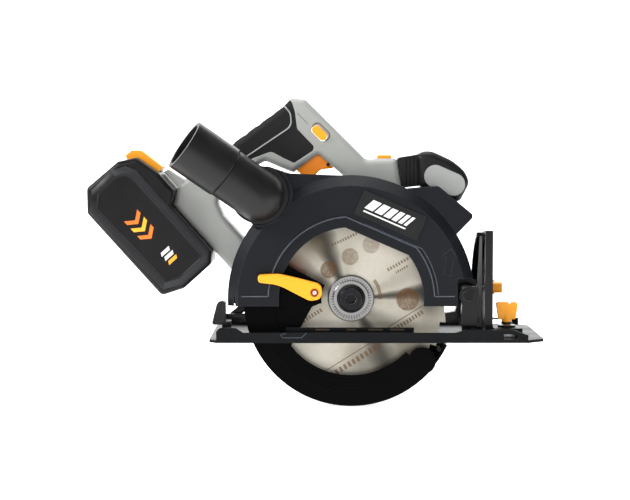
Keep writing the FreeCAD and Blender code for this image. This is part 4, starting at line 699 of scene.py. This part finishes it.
def guardArrow():
    # the faint raised arrow on the front leg
    half, stem, tall, head = arrow["half"], arrow["stem"], arrow["tall"], arrow["head"]
    corners = [(0, tall / 2), (half, tall / 2 - head), (stem, tall / 2 - head), (stem, -tall / 2),
               (-stem, -tall / 2), (-stem, tall / 2 - head), (-half, tall / 2 - head)]
    points = lying(divided(placed(corners, arrow["middle"], arrow["turn"]), 0.0015, True), "upper_guard",
                   0.0001)
    bead("arrowBead", points, arrow["bead"], "navyMetal", "saw", True)


badge = {
    "middle": (0.0325, 0.1050), "turn": -23.5, "face": -0.0181, "proud": 0.00025,
    # the stripes, in millimetres from the middle
    "stripes": (7.5, 6.5, 5.5, 4.5, 3.5, 2.5), "first": -22.5, "space": 1.6, "low": -2.9, "high": 6.1,
    "lean": 4.5, "lineLow": -6.0, "lineHigh": -4.8, "lineLean": 0.6,
}


def badgeMarks():
    # a plain row of slanted stripes that grow thinner, over a line
    near, far = badge["face"] - badge["proud"], badge["face"] + 0.0001

    def slanted(name, start, end, low, high, lean):
        corners = mm((start, low), (end, low), (end + lean, high), (start + lean, high))
        return plate(name, placed(corners, badge["middle"], badge["turn"]), near, far)

    parts = []
    x = badge["first"]
    for wide in badge["stripes"]:
        parts.append(slanted("badgeStripe", x, x + wide, badge["low"], badge["high"], badge["lean"]))
        x += wide + badge["space"]
    parts.append(slanted("badgeLine", badge["first"], x - badge["space"], badge["lineLow"],
                         badge["lineHigh"], badge["lineLean"]))
    joined("badgeMarks", parts, "printWhite", "saw")


ridges = {"axleZ": 0.0345, "face": -0.0115, "radii": (0.0675, 0.0705, 0.0735, 0.0765), "start": -160,
          "end": -62, "bead": 0.00035, "rim": 0.0651, "rimStart": -170, "rimEnd": -48, "rimBead": 0.0006}


def lowerGuardRidges():
    # fine ridges round the swinging guard, and a rounded rim round its window
    def ring(name, radius, start, end, count, thick):
        path = arcPath(0, ridges["axleZ"], radius, start, end, count)
        bead(name, [(x, ridges["face"], z) for x, z in path], thick, "guardBlack", "lower_guard")

    for number, radius in enumerate(ridges["radii"]):
        ring(f"guardRidge{number}", radius, ridges["start"], ridges["end"], 72, ridges["bead"])
    ring("sightEdge", ridges["rim"], ridges["rimStart"], ridges["rimEnd"], 80, ridges["rimBead"])


web = {"near": -0.01152, "far": -0.0095, "axle": 0.0345, "reach": 0.0646, "inner": 0.0252,
       "start": 187, "end": 218.2, "corners": mm((-32.9, 28.1), (-43.6, 8.7), (-50.2, -4.6))}


def lowerGuardWeb():
    # the straight edge that runs from the finger lever down to the window
    turn = math.radians(web["start"])
    first = (web["inner"] * math.cos(turn), web["axle"] + web["inner"] * math.sin(turn))
    back = arcPath(0, web["axle"], web["reach"], web["end"], web["start"], 24)
    piece = plate("lowerGuardWeb", [first] + web["corners"] + back, web["near"], web["far"])
    settle(piece, "guardBlack", "lower_guard")


collarRing = {"x": -0.0764, "z": 0.1222, "reach": 0.0254, "start": -95, "end": 75, "bead": 0.00045}


def guardCollarRing():
    # the ring round the foot of the dust collar
    ring = collarRing
    path = arcPath(ring["x"], ring["z"], ring["reach"], ring["start"], ring["end"], 48)
    bead("collarRing", lying(path, "upper_guard", 0.0), ring["bead"], "navyMetal", "saw")


guardTrim()
guardCollarRing()
guardArrow()
badgeMarks()
lowerGuardWeb()
lowerGuardRidges()
print("guard dressed")


# battery
# the slope that the battery slides along, with its own along and off directions in millimetres
rail = {"x": -0.1515, "z": 0.1125, "turn": 48, "face": -0.0040}


def railSpot(along, off):
    turn = math.radians(rail["turn"])
    return (rail["x"] + (along * math.cos(turn) + off * math.sin(turn)) / 1000,
            rail["z"] + (-along * math.sin(turn) + off * math.cos(turn)) / 1000)


batteryFace = {
    "outer": [(-55, -17), (-50, -6), (-41, -1.2), (50, -1.5), (56, -9), (56, -36), (48, -52), (-41, -54),
              (-54, -41)],
    "thick": 0.0040, "rise": 0.0010, "facet": 0.0058, "facetRise": 0.0026, "lip": 0.0030,
    "step": 0.0011, "sunk": 0.0009, "rounding": 0.00045, "bandEnd": 40, "lowEnd": 30,
}


def batteryFacing():
    # the faceted side panel: a raised rim, a broad facet and a sunk flat middle
    corners = [railSpot(*spot) for spot in batteryFace["outer"]]
    face = rail["face"]
    piece = plate("batteryFacing", corners, face + batteryFace["thick"], face - batteryFace["rise"])
    insetNear(piece, batteryFace["facet"], -batteryFace["facetRise"])
    insetNear(piece, batteryFace["lip"], 0)
    insetNear(piece, batteryFace["step"], batteryFace["sunk"])
    soften(piece, batteryFace["rounding"])
    settle(piece, "batteryBlack", "battery")
    # painted highlight: a paler charcoal band on the facets that face up the rail, and another at the lower
    # end on the facets that face down it
    piece.data.materials.append(made["litFacetGrey"].material)
    turn = math.radians(rail["turn"])
    for side in piece.data.polygons:
        x, z = side.center.x - rail["x"], side.center.z - rail["z"]
        along = (x * math.cos(turn) - z * math.sin(turn)) * 1000
        upRail = side.normal.x * math.sin(turn) + side.normal.z * math.cos(turn)
        downRail = side.normal.x * math.cos(turn) - side.normal.z * math.sin(turn)
        onLitBand = upRail > 0.15 and along < batteryFace["bandEnd"]
        onLitLowEnd = downRail > 0.3 and along > batteryFace["lowEnd"]
        if side.normal.y < -0.3 and (onLitBand or onLitLowEnd):
            side.material_index = 1
    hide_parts("battery_panel")
    return piece


emblem = {"middle": (-8, -30), "proud": 0.00015, "pitch": 8.2, "wide": 4.0, "tall": 7.5, "reach": 5.5,
          "chevrons": ("printOrange", "printAmber", "printOrange"),
          "bars": ("printWhite", "printWhite", "printAmber"), "firstBar": 24, "barPitch": 4.6,
          "barWide": 3, "barLean": 1.5}


def batteryMarks(panel):
    # three plain chevrons and three short slanted bars, in place of lettering
    level = min(v.co.y for v in panel.data.vertices) + batteryFace["sunk"]
    near, far = level - emblem["proud"], level + 0.0002
    middle, height = emblem["middle"]

    def mark(name, shape, finish):
        settle(plate(name, [railSpot(*spot) for spot in shape], near, far), finish, "battery")

    low, high = height - emblem["tall"], height + emblem["tall"]
    for number, finish in enumerate(emblem["chevrons"]):
        a = middle + (number - 1) * emblem["pitch"]
        b, reach = a + emblem["wide"], emblem["reach"]
        mark(f"chevron{number}", [(a, high), (b, high), (b + reach, height), (b, low), (a, low),
                                  (a + reach, height)], finish)
    for number, finish in enumerate(emblem["bars"]):
        a = emblem["firstBar"] + number * emblem["barPitch"]
        b, lean = a + emblem["barWide"], emblem["barLean"]
        mark(f"chargeBar{number}", [(a, height - 4 + lean), (b, height - 4), (b, height + 5),
                                    (a, height + 5 + lean)], finish)


batteryMarks(batteryFacing())
print("battery dressed")


# grip and housing
# the pale piping let into the soft grip
piping = {"path": mm((-96, 148.4), (-52.5, 177.7), (-50.4, 181.7), (-51.1, 190.4), (-57.4, 197.4)),
          "radius": 0.00062}


def gripPiping():
    path = divided(roundPath(piping["path"], 0.003), 0.0012)
    points = lying(path, "grip_overmould", -0.0001)
    bead("gripPiping", points, piping["radius"], "pipingGrey", "saw")


footHood = {"corners": [(-25.6, 13.3), (-25.0, 17.6), (-9.0, 21.5), (0.0, 20.0), (0.0, 15.0),
                        (-7.0, 13.4)],
            "probe": (5, 18), "sunk": 0.0012, "deep": 0.034, "rounding": 0.0006}


def railHood():
    # the grey lip of the foot that reaches over the battery as far as its latch
    spot = lying([railSpot(*footHood["probe"])], "housing_near", footHood["sunk"])[0]
    piece = plate("railHood", [railSpot(*corner) for corner in footHood["corners"]], spot[1],
                  spot[1] + footHood["deep"])
    soften(piece, footHood["rounding"], 3)
    settle(piece, "housingGrey", "saw")


slopeLine = {"path": mm((-45.5, 190.5), (-36.2, 181.0)), "radius": 0.00025}


def housingLines():
    # the short crease on the head's slope, drawn as a darker grey line of painted shade
    points = lying(divided(slopeLine["path"]), "housing_near", 0.00002)
    bead("slopeLine", points, slopeLine["radius"], "creaseShadeGrey", "saw")


gripStep = {"foot": (-0.1052, 0.1607), "turn": 36, "count": 4, "first": 8, "pitch": 14.0,
            "near": 0.0225, "far": 0.0415, "rounding": 0.0003}


def gripSteps():
    # the stepped bars along the top of the soft grip
    for number in range(gripStep["count"]):
        along = gripStep["first"] + number * gripStep["pitch"]
        corners = mm((along, 0.3), (along + 9.5, 0.3), (along + 8.0, -0.8), (along - 0.5, -0.8))
        piece = plate(f"gripStep{number}", placed(corners, gripStep["foot"], gripStep["turn"]),
                      gripStep["near"], gripStep["far"])
        soften(piece, gripStep["rounding"], 1)
        settle(piece, "softGrip", "saw")


lockRing = {"middle": (-0.0252, 0.1746), "half": 0.0044, "radius": 0.0042, "turn": -45, "bead": 0.0004}


def lockOffRing():
    # the dark seam round the lock-off button: painted shade in the gap round it
    half, radius = lockRing["half"], lockRing["radius"]
    path = arcPath(half, 0, radius, -90, 90, 16) + arcPath(-half, 0, radius, 90, 270, 16)
    points = lying(placed(path, lockRing["middle"], lockRing["turn"]), "housing_near", 0.0001)
    bead("lockOffSeam", points, lockRing["bead"], "gapShade", "saw", True)


gripPiping()
railHood()
lockOffRing()
housingLines()
gripSteps()
print("grip dressed")


# base
stripSlots = {"near": -0.0222, "far": -0.0219, "low": 0.0092, "high": 0.0108,
              "spans": ((-0.030, -0.018), (-0.004, 0.004), (0.014, 0.026), (0.032, 0.044))}
stripNotch = {"radius": 0.00022,
              "path": mm((-54.5, 8.1), (-58.9, 6.6), (-57.0, 4.4), (-41.5, 4.4), (-37.5, 8.1))}
gusset = {"corners": mm((111.7, 86), (111.7, 9), (107.4, 9), (107.4, 46), (109.6, 86)), "near": 0.0136,
          "far": 0.01402}


def baseDetails():
    # slots in the strip by the blade, made as thin plates of painted shade, the trough in the near lip,
    # outlined in painted highlight, and a web inside the quadrant
    low, high = stripSlots["low"], stripSlots["high"]
    parts = [plate("slot", [(a, low), (b, low), (b, high), (a, high)], stripSlots["near"], stripSlots["far"])
             for a, b in stripSlots["spans"]]
    joined("stripSlots", parts, "gapShade", "base")
    notch = lying(stripNotch["path"], "base_plate", 0.0)
    bead("stripNotch", notch, stripNotch["radius"], "navyHighlight", "base")
    web = plate("quadrantGusset", gusset["corners"], gusset["near"], gusset["far"])
    settle(web, "gussetGrey", "base")


stem = {"x": 0.1315, "y": 0.0010, "low": 0.0125, "high": 0.0146, "radius": 0.0046,
        "rounding": 0.0003}


def screwStem():
    # the dark sleeve on the wing screw's stem
    deselect()
    tall = stem["high"] - stem["low"]
    bpy.ops.mesh.primitive_cylinder_add(vertices=32, radius=stem["radius"], depth=tall,
                                        location=(stem["x"], stem["y"], stem["low"] + tall / 2))
    sleeve = bpy.context.object
    sleeve.name = "screwSleeve"
    soften(sleeve, stem["rounding"])
    settle(sleeve, "blackMetal", "fence_screw")


baseDetails()
screwStem()
print("base dressed")


# floor, light and camera
studio = {
    "aim": (-0.0303, 0.0, 0.0751), "eye": (-0.0303, -1.5, 0.165), "lens": 102, "sky": 0.2,
    # the paper: its colour, reach to the sides, front and back edge, height and the sweep's radius
    "paper": paint(250, 250, 250), "wide": 9, "front": -3.2, "back": 2.6, "high": 3.2, "sweep": 1.2,
    "gap": 0.0008, "glow": 0.85, "frontGlow": 0.25, "glowFrom": -0.9, "glowTo": -0.42,
    # place, aim, size and power of each soft light
    "lights": {
        "keyLight": ((-1.8, -0.8, 1.2), (0, 0, 0.08), (1.0, 0.8), 46),
        "frontLight": ((-0.5, -2.1, 1.0), (0, 0, 0.06), (1.4, 1.0), 15),
        "fillLight": ((1.5, -1.4, 0.5), (0, 0, 0.05), (1.2, 1.2), 2),
        "topLight": ((0.1, 0.1, 1.7), (0, 0, 0.05), (1.4, 1.0), 22),
        "backLight": ((0.3, 2.0, 1.0), (0, 0, 0.1), (2.0, 1.2), 12),
    },
}


def makeFloor():
    # pale paper under the saw that sweeps up behind it
    deselect()
    middle, deep = (studio["front"] + studio["back"]) / 2, studio["back"] - studio["front"]
    bpy.ops.mesh.primitive_plane_add(size=1, location=(0, middle, cadBox[0].z - studio["gap"]))
    floor = bpy.context.object
    floor.name = "studioFloor"
    floor.scale = (studio["wide"], deep, 1)
    bpy.ops.object.transform_apply(location=True, rotation=True, scale=True)
    for face in floor.data.polygons:
        face.select = False
    for edge in floor.data.edges:
        edge.select = all(floor.data.vertices[i].co.y > studio["back"] - 0.01 for i in edge.vertices)
    for vertex in floor.data.vertices:
        vertex.select = vertex.co.y > studio["back"] - 0.01
    bpy.ops.object.mode_set(mode="EDIT")
    bpy.ops.mesh.select_mode(type="EDGE")
    bpy.ops.mesh.extrude_region_move(TRANSFORM_OT_translate={"value": (0, 0, studio["high"])})
    bpy.ops.object.mode_set(mode="OBJECT")
    sweep = floor.modifiers.new("sweep", "BEVEL")
    sweep.width = studio["sweep"]
    sweep.segments = 12
    sweep.limit_method = "ANGLE"
    bpy.ops.object.modifier_apply(modifier="sweep")
    bpy.ops.object.shade_smooth()
    surface = Finish("floorPaper", studio["paper"], 0.9, specular=0.1)
    surface.tint(surface.ramp(surface.noise(0.8), 0.3, 0.7, 0.0, 0.3), paint(246, 246, 246))
    surface.bump(surface.noise(700), 0.05, 0.0002)
    surface.set(surface.shader, "Emission Color", (1, 1, 1, 1))
    # the paper glows behind and under the saw, and less in front of it
    place = surface.make("ShaderNodeSeparateXYZ", Vector=surface.where)
    glow = surface.ramp(place.outputs["Y"], studio["glowFrom"], studio["glowTo"], studio["frontGlow"],
                        studio["glow"])
    surface.feed(surface.shader, "Emission Strength", glow)
    floor.data.materials.append(surface.material)


def makeSky():
    world = bpy.data.worlds.new("studioWorld")
    world.use_nodes = True
    sky = world.node_tree.nodes["Background"]
    sky.inputs["Color"].default_value = (1, 1, 1, 1)
    sky.inputs["Strength"].default_value = studio["sky"]
    bpy.context.scene.world = world


def makeLight(name, place, aim, size, energy):
    deselect()
    bpy.ops.object.light_add(type="AREA", location=place)
    lamp = bpy.context.object
    lamp.name = name
    lamp.data.shape = "RECTANGLE"
    lamp.data.size, lamp.data.size_y = size
    lamp.data.energy = energy
    away = Vector(aim) - Vector(place)
    lamp.rotation_euler = away.to_track_quat("-Z", "Y").to_euler()


def makeCamera():
    bpy.ops.object.camera_add(location=studio["eye"])
    camera = bpy.context.object
    camera.name = "studioCamera"
    camera.data.lens = studio["lens"]
    camera.data.sensor_width = 36
    away = Vector(studio["aim"]) - Vector(studio["eye"])
    camera.rotation_euler = away.to_track_quat("-Z", "Y").to_euler()
    bpy.context.scene.camera = camera


makeFloor()
makeSky()
for lightName, (place, aim, size, energy) in studio["lights"].items():
    makeLight(lightName, place, aim, size, energy)
makeCamera()
bpy.context.scene.view_settings.view_transform = "Standard"
print("studio ready")
